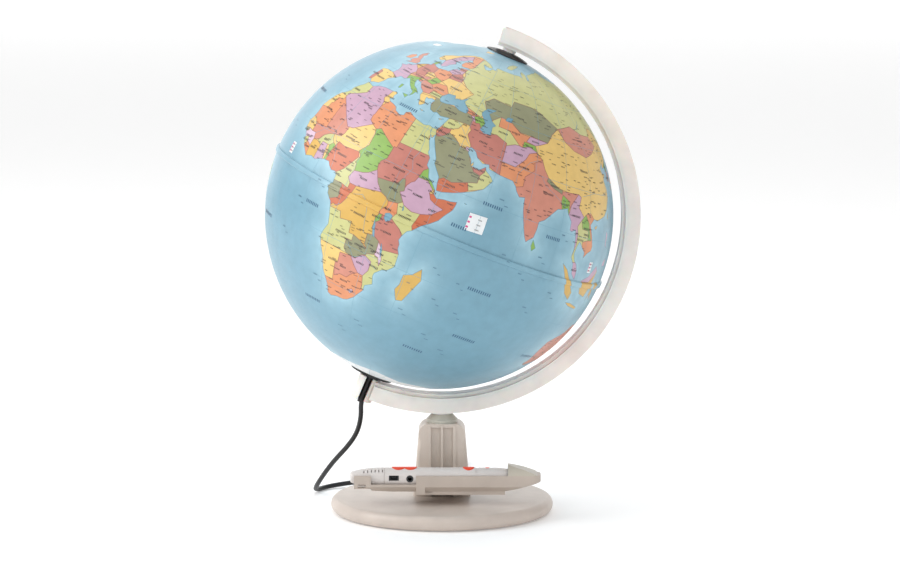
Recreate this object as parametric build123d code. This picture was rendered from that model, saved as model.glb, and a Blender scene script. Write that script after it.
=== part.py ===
from build123d import *
import math
import os

# A lit desktop globe that turns in a half-ring arm, on a ribbed column and a round foot. A talking pen lies
# in a tray across the front, and the lamp's mains lead comes out of the south pole.
# Millimetres and degrees. The origin is the middle of the foot pad's underside, +Z up, +X towards the side
# that the north pole leans to, and +Y away from the side of the pen.

# The globe
GLOBE_RADIUS = 150.0
GLOBE_WALL = 1.6
GLOBE_CENTRE = (-2.3, 0.0, 259.4)
TILT = 23.0
NORTH_HOLE = 6.2
SOUTH_HOLE = 16.0
SEAM_GAP = 0.7
CAP_RADIUS = 18.6

# The half-ring arm that carries the globe: a channel, open outwards, with a narrower inner step
ARM_CENTRE = (-0.4, 0.0, 259.1)
ARM_OUTER = 171.2
ARM_STEP = 158.2
ARM_INNER = 155.1
ARM_HALF_WIDTH = 12.0
ARM_STEP_HALF_WIDTH = 9.0
ARM_WALL = 2.2
ARM_END_WALL = 0.8
ARM_NORTH_END = 18.0
ARM_SOUTH_END = 201.5

# The column, its collar and the foot
PAD_RADIUS = 84.0
PAD_HEIGHT = 1.0
FOOT_RADIUS = 96.5
FOOT_RIM_MID = 7.2
FOOT_TOP = 15.6
FOOT_CEILING = 13.0
COLUMN_TOP = 79.0
COLUMN_HALF_DEPTH = 15.0
COLUMN_WALL = 2.4
CHANNEL_DEPTH = 2.6
RIB_RISE = 0.8
COLLAR_TOP = 86.2
NECK_RADIUS = 8.65
SPIGOT_RADIUS = 6.0
SPIGOT_FOOT = 62.0

# The pivots and the lamp, as distances from the globe's centre along the polar axis
PIN_RADIUS = 2.0
STEM_RADIUS = 5.0
RUNNING_GAP = 0.05
STEM_TOP = 112.0
SOCKET_TOP = 153.4
SOCKET_END = 175.0
SOCKET_RADIUS = 9.5
SOCKET_BORE = 3.0
CORD_START = 163.0

# The pen: it lies along X, its tail towards -X, and the X values are places along it
PEN_Y = -46.0
PEN_Z = 38.5
PEN_RADIUS = 8.5
PEN_WALL = 1.4
PEN_TAIL = -78.5
TAIL_JOINT = -49.0
NOSE_JOINT = 29.0
TRIM_WIDTH = 2.4
TIP_JOINT = 72.0
PEN_POINT = 79.0
JACK_X = -27.3
JACK_BORE = 1.8
JACK_DEPTH = 12.0
USB_X = -41.0
ROCKER_X = -32.0
ROCKER_LOBE = 5.6
ROCKER_LOBE_ACROSS = 4.4
ROCKER_LOBE_REACH = 5.0
BUTTON_X = 23.0
BUTTON_RADIUS = 4.8
LIGHT_X = 39.0

# The tray
TRAY_LEFT = -75.0
TRAY_RIGHT = 84.7
TRAY_HALF_WIDTH = 11.5
TRAY_RIM_Z = 41.5
WINDOW = (-60.6, -22.0)
WINDOW_SILL_Z = 33.9
HOOD_LEFT = 56.6

# The mains lead
CORD_RADIUS = 2.1
COIL_CENTRE = (-1.0, 132.5)
COIL_TURN_RADII = (18.4, 31.6)
COIL_LAYERS = 2
TIE_THICKNESS = 0.7
SWITCH_CENTRE = (-52.0, 105.5)
SWITCH_SIZE = (42.0, 18.0, 13.0)
SWITCH_CORD_Z = 5.6
SWITCH_PIN_RADIUS = 0.8
PLUG_BACK = (0.5, 194.0)
PLUG_SIZE = (35.0, 34.0, 13.0)
PLUG_PIN_RADIUS = 2.0
PLUG_PIN_LENGTH = 19.0
PLUG_PIN_PITCH = 19.0

LEAD_ROUTE = [
    (-66.0, 0.0, 109.4),
    (-70.5, 0.2, 97.6),
    (-70.2, 3.5, 82.0),
    (-74.2, 10.5, 66.5),
    (-83.2, 21.0, 52.5),
    (-94.6, 34.0, 38.5),
    (-104.5, 48.0, 23.5),
    (-112.0, 64.0, 9.5),
    (-113.5, 82.5, 2.3),
    (-103.5, 98.8, 2.3),
    (-88.0, 105.0, 3.9),
    (-73.2, 105.5, SWITCH_CORD_Z),
]
LINK_ROUTE = [(-30.8, 105.5, SWITCH_CORD_Z), (-21.0, 104.6, 4.5), (-10.8, 101.8, 3.2), (-0.5, 100.9, 2.8)]
TAIL_ROUTE = [
    (30.6, 131.5, 7.0),
    (30.0, 144.5, 5.6),
    (23.5, 156.0, 3.2),
    (12.0, 164.5, 2.7),
    (3.6, 174.5, 4.4),
    (0.8, 184.5, 6.2),
    (0.5, 193.0, 6.5),
]

sin_tilt, cos_tilt = math.sin(math.radians(TILT)), math.cos(math.radians(TILT))
CENTRE = Vector(*GLOBE_CENTRE)
NORTH = Plane(CENTRE, x_dir=(cos_tilt, 0, -sin_tilt), z_dir=(sin_tilt, 0, cos_tilt))
SOUTH = Plane(CENTRE, x_dir=(cos_tilt, 0, -sin_tilt), z_dir=(-sin_tilt, 0, -cos_tilt))
PEN = Pos(0, PEN_Y, PEN_Z) * Rot(0, 90, 0)
LOW = (Align.CENTER, Align.CENTER, Align.MIN)


def turned(*outline):
    """A solid turned about the local Z axis, from the (radius, height) corners of its outline."""
    edge = Polyline(*[(radius, 0, height) for radius, height in outline], close=True)
    return revolve(make_face(edge), Axis.Z)


def turned_edges(*edges):
    """A solid turned about the local Z axis, from edges that close a face in the XZ plane."""
    return revolve(make_face(list(edges)), Axis.Z)


def bow(start, middle, end):
    """An arc in the XZ plane through three (radius, height) points."""
    return ThreePointArc(*[(radius, 0, height) for radius, height in (start, middle, end)])


def straight(*points):
    """Lines in the XZ plane through (radius, height) points."""
    return Polyline(*[(radius, 0, height) for radius, height in points])


def rod(radius, low, high):
    """A round bar along the local Z axis."""
    return Pos(0, 0, low) * Cylinder(radius, high - low, align=LOW)


def pipe(outer, inner, low, high):
    """A round tube along the local Z axis."""
    return rod(outer, low, high) - rod(inner, low - 1, high + 1)


def block(x, y, z):
    """A box from its (low, high) limits on each axis."""
    size = [high - low for low, high in (x, y, z)]
    middle = [(high + low) / 2 for low, high in (x, y, z)]
    return Pos(*middle) * Box(*size)


def side_shape(points, y):
    """A solid whose outline in the XZ plane is the points, from one Y value to the other."""
    face = make_face(Polyline(*[(px, y[0], pz) for px, pz in points], close=True))
    return extrude(face, amount=y[1] - y[0], dir=(0, 1, 0))


def polar_point(radius, angle):
    return (radius * math.cos(math.radians(angle)), radius * math.sin(math.radians(angle)))


# ---- The globe ----


def hemisphere(hole):
    """Half of the printed ball, an even wall from beside the seam ring to the hole at its pole."""
    outer, inner = GLOBE_RADIUS, GLOBE_RADIUS - GLOBE_WALL
    rim_out = (math.sqrt(outer**2 - SEAM_GAP**2), SEAM_GAP)
    rim_in = (math.sqrt(inner**2 - SEAM_GAP**2), SEAM_GAP)
    pole_out = (hole, math.sqrt(outer**2 - hole**2))
    pole_in = (hole, math.sqrt(inner**2 - hole**2))
    return turned_edges(
        bow(rim_out, polar_point(outer, 45), pole_out),
        straight(pole_out, pole_in),
        bow(pole_in, polar_point(inner, 45), rim_in),
        straight(rim_in, rim_out),
    )


def equator_ring():
    """The ring that joins the two halves: a spigot inside them and the rounded bead outside."""
    inside = GLOBE_RADIUS - GLOBE_WALL - 0.25
    half = [
        (inside - 2.1, 6.0),
        (inside, 6.0),
        (inside, 0.6),
        (GLOBE_RADIUS + 0.15, 0.6),
        (GLOBE_RADIUS + 0.15, 2.3),
        (GLOBE_RADIUS + 1.2, 2.3),
        (GLOBE_RADIUS + 1.7, 1.6),
    ]
    return turned(*half, *[(radius, -height) for radius, height in reversed(half)])


def north_cap():
    """The black dome over the north pole, with the hub that holds its bush."""
    return turned_edges(
        straight((3.6, 139), (NORTH_HOLE - 0.2, 139), (NORTH_HOLE - 0.2, 150.2)),
        bow((NORTH_HOLE - 0.2, 150.2), (13, 149.75), (CAP_RADIUS, 149.0)),
        straight((CAP_RADIUS, 149.0), (CAP_RADIUS, 149.8)),
        bow((CAP_RADIUS, 149.8), (12, 151.6), (3.6, 152.2)),
        straight((3.6, 152.2), (3.6, 139)),
    )


def south_cap():
    """The thin black disc over the south pole, with the plug that fills the hole for the lamp."""
    plug = SOUTH_HOLE - 0.3
    return turned(
        (7.1, 143),
        (9.4, 143),
        (9.4, 147.6),
        (plug - 1.8, 147.6),
        (plug - 1.8, 144),
        (plug, 144),
        (plug, 149.9),
        (CAP_RADIUS + 0.2, 149.3),
        (CAP_RADIUS + 0.2, 150.7),
        (7.1, 151.9),
    )


# ---- The arm, the pivots and the lamp ----


def arm_section(angle, corners):
    """A face across the arm, at an angle from straight up, from (distance from the centre, y) corners."""
    turn = math.radians(angle)
    outwards = (math.sin(turn), 0, math.cos(turn))
    plane = Plane(ARM_CENTRE, x_dir=outwards, z_dir=(-math.cos(turn), 0, math.sin(turn)))
    return plane * make_face(Polyline(*corners, close=True))


def arm_sweep(corners, start, end):
    """A stretch of the arm, from one angle to another, both from straight up towards +X."""
    return revolve(arm_section(start, corners), Axis(ARM_CENTRE, (0, 1, 0)), revolution_arc=end - start)


def arm_corners(rim):
    """The outer corners of the arm's section, from a rim on one side, round the inner step, to the other."""
    wide, narrow = ARM_HALF_WIDTH, ARM_STEP_HALF_WIDTH
    return [
        (rim, -wide),
        (ARM_STEP, -wide),
        (ARM_STEP, -narrow),
        (ARM_INNER, -narrow),
        (ARM_INNER, narrow),
        (ARM_STEP, narrow),
        (ARM_STEP, wide),
        (rim, wide),
    ]


def arm_cheek(low, high):
    """One side wall of the arm's channel, between two Y values."""
    floor = ARM_STEP + ARM_WALL
    corners = [(floor, low), (ARM_OUTER, low), (ARM_OUTER, high), (floor, high)]
    return arm_sweep(corners, ARM_NORTH_END + ARM_END_WALL, ARM_SOUTH_END)


def meridian_arm():
    """The half-ring arm's floor with its end wall, north boss, south socket and the foot in the column."""
    half, floor = ARM_STEP_HALF_WIDTH - ARM_WALL, ARM_STEP + ARM_WALL
    bed = ARM_INNER + ARM_WALL
    hollow = [(floor, half), (bed, half), (bed, -half), (floor, -half)]
    arm = arm_sweep(arm_corners(floor) + hollow, ARM_NORTH_END, ARM_SOUTH_END)
    arm += arm_sweep(arm_corners(ARM_OUTER), ARM_NORTH_END, ARM_NORTH_END + ARM_END_WALL)
    arm += NORTH * rod(5.8, 152.6, ARM_INNER + ARM_WALL)
    arm -= NORTH * rod(PIN_RADIUS + 0.02, 150, 160)
    arm += rod(NECK_RADIUS, COLLAR_TOP, ARM_CENTRE[2] - ARM_INNER - ARM_WALL / 2)
    arm += rod(SPIGOT_RADIUS, SPIGOT_FOOT, COLLAR_TOP)
    arm -= rod(4.5, SPIGOT_FOOT - 1, SPIGOT_FOOT + 16)
    socket = fillet(rod(SOCKET_RADIUS, SOCKET_TOP, SOCKET_END).edges().group_by(Axis.Z)[-1], 1.6)
    arm += SOUTH * socket
    arm -= SOUTH * rod(SOCKET_BORE, SOCKET_TOP - 3, SOCKET_END + 3)
    arm -= SOUTH * block((-SOCKET_BORE, SOCKET_BORE), (0, 20), (SOCKET_TOP - 3, SOCKET_END + 3))
    return arm


def lamp_stem():
    """The black tube that carries the lamp: it stands in the socket, and the globe turns on it."""
    return turned(
        (3.0, STEM_TOP),
        (STEM_RADIUS, STEM_TOP),
        (STEM_RADIUS, 152.15),
        (7.5, 152.15),
        (7.5, SOCKET_TOP - 0.1),
        (2.9, SOCKET_TOP - 0.1),
        (2.9, 156.0),
        (1.5, 156.0),
        (1.5, 150.0),
        (3.0, 148.0),
    )


def strain_relief():
    """The rubber sleeve that tapers round the lead through the socket."""
    outside = [(1.6, 156.1), (2.7, 156.1), (2.35, 177.0)]
    return turned(*outside, (2.15, 177.0), (2.15, CORD_START), (1.6, CORD_START))


def lamp_leads():
    """The two insulated wires from the lead up to the lamp holder."""
    return Part() + [SOUTH * Pos(x, 0, 0) * rod(0.6, 110.5, CORD_START - 0.3) for x in (-0.7, 0.7)]


def lamp_holder():
    """A candle-size lamp holder, a cup whose floor takes the stem's end."""
    return turned(
        (0.0, STEM_TOP - 2.6),
        (1.6, STEM_TOP - 2.6),
        (1.6, STEM_TOP),
        (13.5, STEM_TOP),
        (13.5, 86.0),
        (11.5, 84.0),
        (7.4, 84.0),
        (7.4, 108.0),
        (0.0, 108.0),
    ) - Pos(0, 0, STEM_TOP) * Box(2.9, 1.3, 5.3)


def lamp_contact():
    """The sprung middle contact in the floor of the holder."""
    return turned((0, 105.4), (2.6, 105.4), (3.2, 107.9), (0, 107.9))


def bulb_cap():
    """The bulb's screw cap, seven shallow turns of thread drawn as rings, and its tip."""
    outline = [(0.0, 79.0), (6.6, 79.0)]
    for turn in range(7):
        low = 80.0 + turn * 2.6
        outline += [(6.6, low), (7.1, low + 0.9), (6.6, low + 1.8)]
    outline += [(6.6, 99.5), (2.4, 103.0), (2.4, 105.3), (0.0, 105.3)]
    return turned(*outline)


def bulb_glass():
    """The golf-ball bulb's thin glass."""
    centre, outer, inner = 44.0, 22.5, 21.7
    neck_angle = 45.0

    def on_ball(radius, angle):
        across, along = polar_point(radius, angle)
        return (across, centre + along)

    return turned_edges(
        bow((0.0, centre - outer), on_ball(outer, -20), on_ball(outer, neck_angle)),
        straight(on_ball(outer, neck_angle), (8.0, 78.9), (7.0, 78.9), on_ball(inner, neck_angle)),
        bow(on_ball(inner, neck_angle), on_ball(inner, -20), (0.0, centre - inner)),
        straight((0.0, centre - inner), (0.0, centre - outer)),
    )


def bulb_filaments():
    """Four LED filaments that stand in a ring round the bulb's axis."""
    sticks = [Rot(0, 0, 90 * n) * Pos(5.5, 0, 0) * rod(1.0, 38.0, 62.0) for n in range(4)]
    return Part() + [SOUTH * stick for stick in sticks]


# ---- The column and the foot ----


def column_shell():
    """The tapered column: flat wings beside two sunk channels between three ribs, front and back."""
    right = [(24.7, FOOT_TOP), (20.2, 70.0)]
    edges = [
        Line((-24.7, 0, FOOT_TOP), (24.7, 0, FOOT_TOP)),
        Line(*[(x, 0, z) for x, z in right]),
        ThreePointArc((20.2, 0, 70.0), (18.3, 0, 75.8), (13.4, 0, COLUMN_TOP)),
        Line((13.4, 0, COLUMN_TOP), (-13.4, 0, COLUMN_TOP)),
        ThreePointArc((-13.4, 0, COLUMN_TOP), (-18.3, 0, 75.8), (-20.2, 0, 70.0)),
        Line(*[(-x, 0, z) for x, z in reversed(right)]),
    ]
    body = extrude(make_face(edges), amount=COLUMN_HALF_DEPTH, dir=(0, 1, 0), both=True)
    outer = body.edges().filter_by(lambda edge: abs(edge.center().X) > 20.5 and abs(edge.center().Y) > 14)
    body = fillet(outer.filter_by(lambda edge: edge.length > 40), 3.0)
    room = [(-22.0, 14.0), (22.0, 14.0), (17.9, 69.0), (11.5, 76.0), (-11.5, 76.0), (-17.9, 69.0)]
    reach = COLUMN_HALF_DEPTH - COLUMN_WALL - CHANNEL_DEPTH
    body -= side_shape(room, (-reach, reach))
    for side in (-1, 1):
        face = side * COLUMN_HALF_DEPTH
        for x in (-5.3, 5.3):
            depth = sorted((face - side * CHANNEL_DEPTH, face + side))
            body -= block((x - 4.3, x + 4.3), depth, (FOOT_TOP - 1, 76.0))
        for x, half in ((-10.8, 1.2), (0.0, 1.0), (10.8, 1.2)):
            depth = sorted((face - side, face + side * RIB_RISE))
            body += block((x - half, x + half), depth, (FOOT_TOP, 77.5))
    body += rod(9.0, 56.0, 77.0)
    body -= rod(SPIGOT_RADIUS + 0.05, 50.0, COLUMN_TOP + 1)
    for x in (-16.5, 16.5):
        body -= Pos(x, -6, 36) * Rot(90, 0, 0) * rod(1.5, 0, 14)
    return body


def column_collar():
    """The grey collar whose shoulders slope up to the arm's clear neck."""
    bore = SPIGOT_RADIUS + 0.05
    shoulder = [(13.4, COLUMN_TOP), (13.4, 81.8), (9.0, COLLAR_TOP)]
    return turned((bore, COLUMN_TOP), *shoulder, (bore, COLLAR_TOP))


def foot_shell():
    """The round foot: a fat rounded rim and a top that swells a little towards the column."""
    rim_x, rim_z = 5.5, FOOT_RIM_MID - PAD_HEIGHT
    rim_in = FOOT_RADIUS - rim_x
    rim = EllipticalCenterArc((rim_in, 0), rim_x, rim_z, start_angle=-90, arc_size=180)
    rim = Pos(0, 0, FOOT_RIM_MID) * Rot(90, 0, 0) * rim
    crown = FOOT_RIM_MID + rim_z
    shell = turned_edges(
        straight((86.2, PAD_HEIGHT), (rim_in, PAD_HEIGHT)),
        rim,
        bow((rim_in, crown), (60.0, 14.9), (27.0, FOOT_TOP)),
        straight((27.0, FOOT_TOP), (3.2, FOOT_TOP), (3.2, FOOT_CEILING), (27.0, FOOT_CEILING)),
        bow((27.0, FOOT_CEILING), (60.0, 12.4), (88.0, 11.2)),
        straight((88.0, 11.2), (92.5, 8.4), (92.5, 5.4), (89.4, 3.4), (86.2, 3.4), (86.2, PAD_HEIGHT)),
    )
    for angle in (30, 150, 270):
        x, y = polar_point(74.0, angle)
        shell += Pos(x, y, 0) * (rod(4.0, 3.1, 12.2) - rod(1.3, 2.0, 11.0))
    return shell


def foot_plate():
    """The bottom cover, screwed into the foot's bosses."""
    plate = rod(86.0, PAD_HEIGHT, 3.0)
    for angle in (30, 150, 270):
        x, y = polar_point(74.0, angle)
        plate -= Pos(x, y, 0) * (rod(1.35, 0, 4) + rod(3.1, 0, 2.2))
    return plate


def foot_screws():
    screw = rod(1.25, 2.1, 10.0) + rod(2.9, 1.05, 2.2)
    return Part() + [Pos(*polar_point(74.0, angle), 0) * screw for angle in (30, 150, 270)]


def tie_bolt():
    """The long screw from inside the foot, up the column, into the arm's insert."""
    head = extrude(RegularPolygon(5.0, 6), amount=4.3)
    return Pos(0, 0, 7.4) * head + rod(3.0, 7.4, SPIGOT_FOOT + 14)


# ---- The tray ----


def pen_room():
    """The round room for the pen, tapering with its nose, as long as the tray and past its open end."""
    nose = [(8.3, 56), (6.3, 66), (4.1, 73), (2.6, 80.5), (0, 80.5)]
    return PEN * turned((0, -95), (9.0, -95), (9.0, 46), *nose)


def pen_tray():
    """The open trough on its keel, with the window that shows the pen's sockets and the bracket behind."""
    half, lip = TRAY_HALF_WIDTH, TRAY_RIM_Z - PEN_Z
    section = [(-half, lip), (-half, -6.6), (-8.0, -11.0), (8.0, -11.0), (half, -6.6), (half, lip)]
    plane = Plane((TRAY_LEFT, PEN_Y, PEN_Z), x_dir=(0, 1, 0), z_dir=(1, 0, 0))
    tray = extrude(plane * make_face(Polyline(*section, close=True)), amount=TRAY_RIGHT - TRAY_LEFT)
    ends = tray.edges().filter_by(Axis.Z).group_by(Axis.X)[-1]
    tray = fillet(ends, 7.5)
    front, back = PEN_Y - half - 1, PEN_Y + half + 1
    under_right = [(50, 20), (52, 27.6), (62, 29.4), (75, 33.2), (90, 37.5), (90, 20)]
    under_left = [(-80, 20), (-80, 30.2), (-61, 30.2), (-60, 28.4), (-42, 27.5), (-42, 20)]
    tray -= side_shape(under_right, (front, back))
    tray -= side_shape(under_left, (front, back))
    tray += block((-22.0, 54.0), (-54.0, -39.0), (24.7, 29.0))
    tray += block((-22.0, -14.2), (PEN_Y - half, -50.0), (25.3, 33.0))
    tray -= block((-14.2, -8.6), (-54.5, -53.2), (26.6, 29.6))
    tray -= block(WINDOW, (front, PEN_Y - 6.0), (WINDOW_SILL_Z, TRAY_RIM_Z + 1))
    tray -= block((-71.9, -65.0), (front, PEN_Y - 5.0), (31.4, 34.2))
    tray += block((-20.0, 20.0), (PEN_Y + 8.0, -16.8), (28.0, 31.6))
    tray += block((-21.0, 21.0), (-18.3, -COLUMN_HALF_DEPTH - RIB_RISE), (20.0, 41.0))
    tray -= pen_room()
    tray -= block((TRAY_LEFT - 1, HOOD_LEFT), (PEN_Y - 9.0, PEN_Y + 9.0), (PEN_Z, TRAY_RIM_Z + 1))
    for x in (-16.5, 16.5):
        tray -= Pos(x, -14, 36) * Rot(90, 0, 0) * rod(1.5, 0, 6)
    return tray


def tray_hood():
    """The wedge-shaped hood that shelters the pen's point."""
    low, half = TRAY_RIM_Z, TRAY_HALF_WIDTH
    outline = [(HOOD_LEFT, low), (HOOD_LEFT, 50.2), (70, 46.4), (80.2, 42.6), (81.5, low)]
    hood = side_shape(outline, (PEN_Y - half, PEN_Y + half))
    hood = hood & (Pos(0, PEN_Y, PEN_Z) * Rot(0, 90, 0) * rod(11.9, 50, 90))
    return hood - pen_room()


def tray_screws():
    screw = rod(1.45, 0, 10.65) + rod(2.8, 10.65, 12.5)
    return Part() + [Pos(x, -7.7, 36) * Rot(90, 0, 0) * screw for x in (-16.5, 16.5)]


# ---- The pen: local Z runs along the pen, and local X points down ----


def two_lobes(grow):
    """The plan of the volume key: two oval lobes that run into each other."""
    lobe = extrude(Ellipse(ROCKER_LOBE + grow, ROCKER_LOBE_ACROSS + grow), amount=20)
    left = Pos(ROCKER_X - ROCKER_LOBE_REACH, PEN_Y, PEN_Z) * lobe
    right = Pos(ROCKER_X + ROCKER_LOBE_REACH, PEN_Y, PEN_Z) * lobe
    return left + right


def pen_skin(outer, inner):
    return PEN * pipe(outer, inner, -60, 60)


def pen_casing():
    """The pen's round barrel, with its openings for the keys, the two sockets and the battery door."""
    casing = PEN * pipe(PEN_RADIUS, PEN_RADIUS - PEN_WALL, TAIL_JOINT, NOSE_JOINT)
    casing -= two_lobes(0.25)
    casing -= Pos(BUTTON_X, PEN_Y, PEN_Z) * rod(BUTTON_RADIUS + 0.2, 0, 12)
    casing -= Pos(JACK_X, PEN_Y, PEN_Z) * Rot(90, 0, 0) * rod(3.1, 0, 12)
    casing -= block((USB_X - 4.3, USB_X + 4.3), (PEN_Y - 12, PEN_Y), (PEN_Z - 1.6, PEN_Z + 2.9))
    casing -= block((-18, 14), (PEN_Y - 4.6, PEN_Y + 4.6), (PEN_Z - 12, PEN_Z))
    return casing


def pen_battery_door():
    place = block((-17.8, 13.8), (PEN_Y - 4.4, PEN_Y + 4.4), (PEN_Z - 12, PEN_Z))
    return pen_skin(PEN_RADIUS, PEN_RADIUS - PEN_WALL) & place


def pen_tail_cap():
    """The hollow tail with the speaker's slanted slots."""
    spigot = TAIL_JOINT + 3.5
    groove = (PEN_RADIUS - 0.5, TAIL_JOINT)
    shoulder = (PEN_RADIUS, TAIL_JOINT - 0.5)
    tail = PEN * turned_edges(
        straight((5.9, spigot), (7.05, spigot), (7.05, TAIL_JOINT), groove, shoulder),
        bow(shoulder, (7.7, -64.0), (5.2, -76.6)),
        bow((5.2, -76.6), (4.3, -78.0), (3.0, PEN_TAIL)),
        straight((3.0, PEN_TAIL), (0, PEN_TAIL), (0, -77.0), (3.4, -76.6)),
        bow((3.4, -76.6), (6.2, -64.0), (7.0, -52.0)),
        straight((7.0, -52.0), (5.9, -51.0), (5.9, spigot)),
    )
    for n in range(6):
        slot = Pos(-69.0 + n * 3.1, PEN_Y, PEN_Z) * Rot(40, 0, 0) * Rot(0, 18, 0) * Pos(0, 0, 8)
        tail -= slot * Box(0.8, 3.0, 7.0)
    return tail


def pen_nose():
    """The nose section: it tapers to the tip, with a light and a thin groove on top."""
    start = NOSE_JOINT + TRIM_WIDTH
    nose = PEN * turned_edges(
        straight((6.0, start - 2.5), (7.05, start - 2.5), (7.05, start), (8.4, start), (8.2, 45.0)),
        bow((8.2, 45.0), (6.6, 60.0), (3.3, TIP_JOINT)),
        straight((3.3, TIP_JOINT), (1.9, TIP_JOINT)),
        bow((1.9, TIP_JOINT), (5.2, 60.0), (6.8, 45.0)),
        straight((6.8, 45.0), (6.8, start), (6.0, start - 1), (6.0, start - 2.5)),
    )
    nose -= Pos(LIGHT_X, PEN_Y, PEN_Z) * rod(1.8, 0, 12)
    groove = block((43.5, 55.5), (PEN_Y - 0.5, PEN_Y + 0.5), (PEN_Z + 7.0, PEN_Z + 10))
    return nose - (groove - PEN * rod(7.2, 40, 60))


def pen_trim():
    """The thin ring between the barrel and the nose."""
    return PEN * pipe(PEN_RADIUS - 0.5, 7.1, NOSE_JOINT, NOSE_JOINT + TRIM_WIDTH)


def pen_tip():
    """The black point with a clear bore for the camera's view."""
    return PEN * turned((0.9, TIP_JOINT), (2.9, TIP_JOINT), (2.2, 76.5), (1.5, PEN_POINT), (0.9, PEN_POINT))


def pen_camera():
    return PEN * rod(0.85, TIP_JOINT - 1.0, 74.5) + PEN * rod(1.8, TIP_JOINT - 7.0, TIP_JOINT - 1.0)


def pen_jack():
    """The headphone socket: a bore with its mouth at the front of the barrel."""
    jack = rod(3.0, -3.6, 8.3) - rod(JACK_BORE, 8.4 - JACK_DEPTH, 9)
    return Pos(JACK_X, PEN_Y, PEN_Z) * Rot(90, 0, 0) * jack


def pen_usb_socket():
    """The charging socket: a thin metal shell with a tapered mouth round its tongue."""
    shell = block((USB_X - 4.1, USB_X + 4.1), (PEN_Y - 7.6, PEN_Y - 1.6), (PEN_Z - 1.4, PEN_Z + 2.7))
    low, high = PEN_Z - 0.9, PEN_Z + 2.2
    mouth = [(USB_X - 2.7, low), (USB_X + 2.7, low), (USB_X + 3.4, high), (USB_X - 3.4, high)]
    shell -= side_shape(mouth, (PEN_Y - 9.0, PEN_Y - 2.4))
    return shell + block((USB_X - 2.2, USB_X + 2.2), (PEN_Y - 6.6, PEN_Y - 2.0), (PEN_Z + 0.3, PEN_Z + 1.0))


def pen_board():
    """The circuit board with its sensor chip."""
    board = block((-44.5, 17), (PEN_Y - 5.2, PEN_Y + 5.2), (PEN_Z + 3.2, PEN_Z + 4.2))
    return board + block((-12, 2), (PEN_Y - 3.5, PEN_Y + 3.5), (PEN_Z + 4.2, PEN_Z + 5.2))


def volume_rocker():
    return (two_lobes(0.0) & pen_skin(9.1, 7.6)) - block((-60, 60), (-60, -30), (0, PEN_Z + 4))


def power_button():
    return Pos(BUTTON_X, PEN_Y, PEN_Z) * rod(BUTTON_RADIUS, 0, 12) & pen_skin(9.0, 6.2)


def pen_light():
    return Pos(LIGHT_X, PEN_Y, PEN_Z) * rod(1.8, 0, 12) & PEN * pipe(8.5, 7.0, 30, 50)


# ---- The mains lead ----


def cord_path(name, points):
    """Straight runs joined by arcs, each as large as its two runs allow. Prints the arcs' radii."""
    spots = [Vector(*point) for point in points]
    radii = []
    for before, here, after in zip(spots, spots[1:], spots[2:]):
        turn = (here - before).get_angle(after - here)
        shorter = min((here - before).length, (after - here).length)
        radii.append(0.45 * shorter / math.tan(math.radians(turn / 2)))
    print(name, "radii", [round(radius, 1) for radius in radii])
    return FilletPolyline(*spots, radius=radii)


def cord_tube(name, points):
    """A plain round tube along the path, checked against its section times its length."""
    path = cord_path(name, points)
    section = Plane(path @ 0, z_dir=path % 0) * Circle(CORD_RADIUS)
    tube = sweep(section, path=path)
    expected = math.pi * CORD_RADIUS**2 * path.length
    print(name, "length", round(path.length, 1), "volume over expected", round(tube.volume / expected, 4))
    return tube


def cord_tail():
    """The last stretch, from the side of the coil to the plug."""
    stretch = cord_tube("cord_tail", TAIL_ROUTE) - cord_coil() - plug_body()
    return stretch.solids().sort_by(SortBy.VOLUME)[-1]


def cord_coil():
    """The outer shape of the wound-up lead: a flat ring, two turns high."""
    inner, outer = COIL_TURN_RADII[0] - CORD_RADIUS, COIL_TURN_RADII[1] + CORD_RADIUS
    ring = pipe(outer, inner, TIE_THICKNESS, TIE_THICKNESS + COIL_LAYERS * 2 * CORD_RADIUS)
    return Pos(*COIL_CENTRE, 0) * ring


def coil_ties():
    """Two hook-and-loop straps round the ring, clear of where the lead meets it."""
    inner, outer = COIL_TURN_RADII[0] - CORD_RADIUS, COIL_TURN_RADII[1] + CORD_RADIUS
    top = TIE_THICKNESS + COIL_LAYERS * 2 * CORD_RADIUS
    hoop = pipe(outer + TIE_THICKNESS, inner - TIE_THICKNESS, 0, top + TIE_THICKNESS)
    hoop -= rod(outer, TIE_THICKNESS, top) - rod(inner, 0, top + 1)
    strap = hoop & block((0, 60), (-6, 6), (-1, top + 2))
    return Part() + [Pos(*COIL_CENTRE, 0) * Rot(0, 0, angle) * strap for angle in (205, 115)]


def switch_place():
    return Pos(*SWITCH_CENTRE, 0)


def switch_lower():
    """The lower half of the in-line switch, with half-round necks for the lead at both ends."""
    length, width, _ = SWITCH_SIZE
    case = fillet(Box(length, width, SWITCH_CORD_Z, align=LOW).edges().filter_by(Axis.Z), 7.0)
    case -= block((-length / 2 + 5, length / 2 - 5), (-width / 2 + 2, width / 2 - 2), (1.8, 10))
    return switch_place() * case


def switch_upper():
    """The upper half of the in-line switch, with the opening for its rocker."""
    length, width, height = SWITCH_SIZE
    case = Pos(0, 0, SWITCH_CORD_Z) * Box(length, width, height - SWITCH_CORD_Z, align=LOW)
    case = fillet(case.edges().filter_by(Axis.Z), 7.0)
    case = fillet(case.edges().group_by(Axis.Z)[-1], 2.5)
    case -= block((-length / 2 + 5, length / 2 - 5), (-width / 2 + 2, width / 2 - 2), (0, height - 2))
    case -= block((-9.3, 9.3), (-5.3, 5.3), (0, height + 1))
    return switch_place() * case - switch_pivot()


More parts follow.
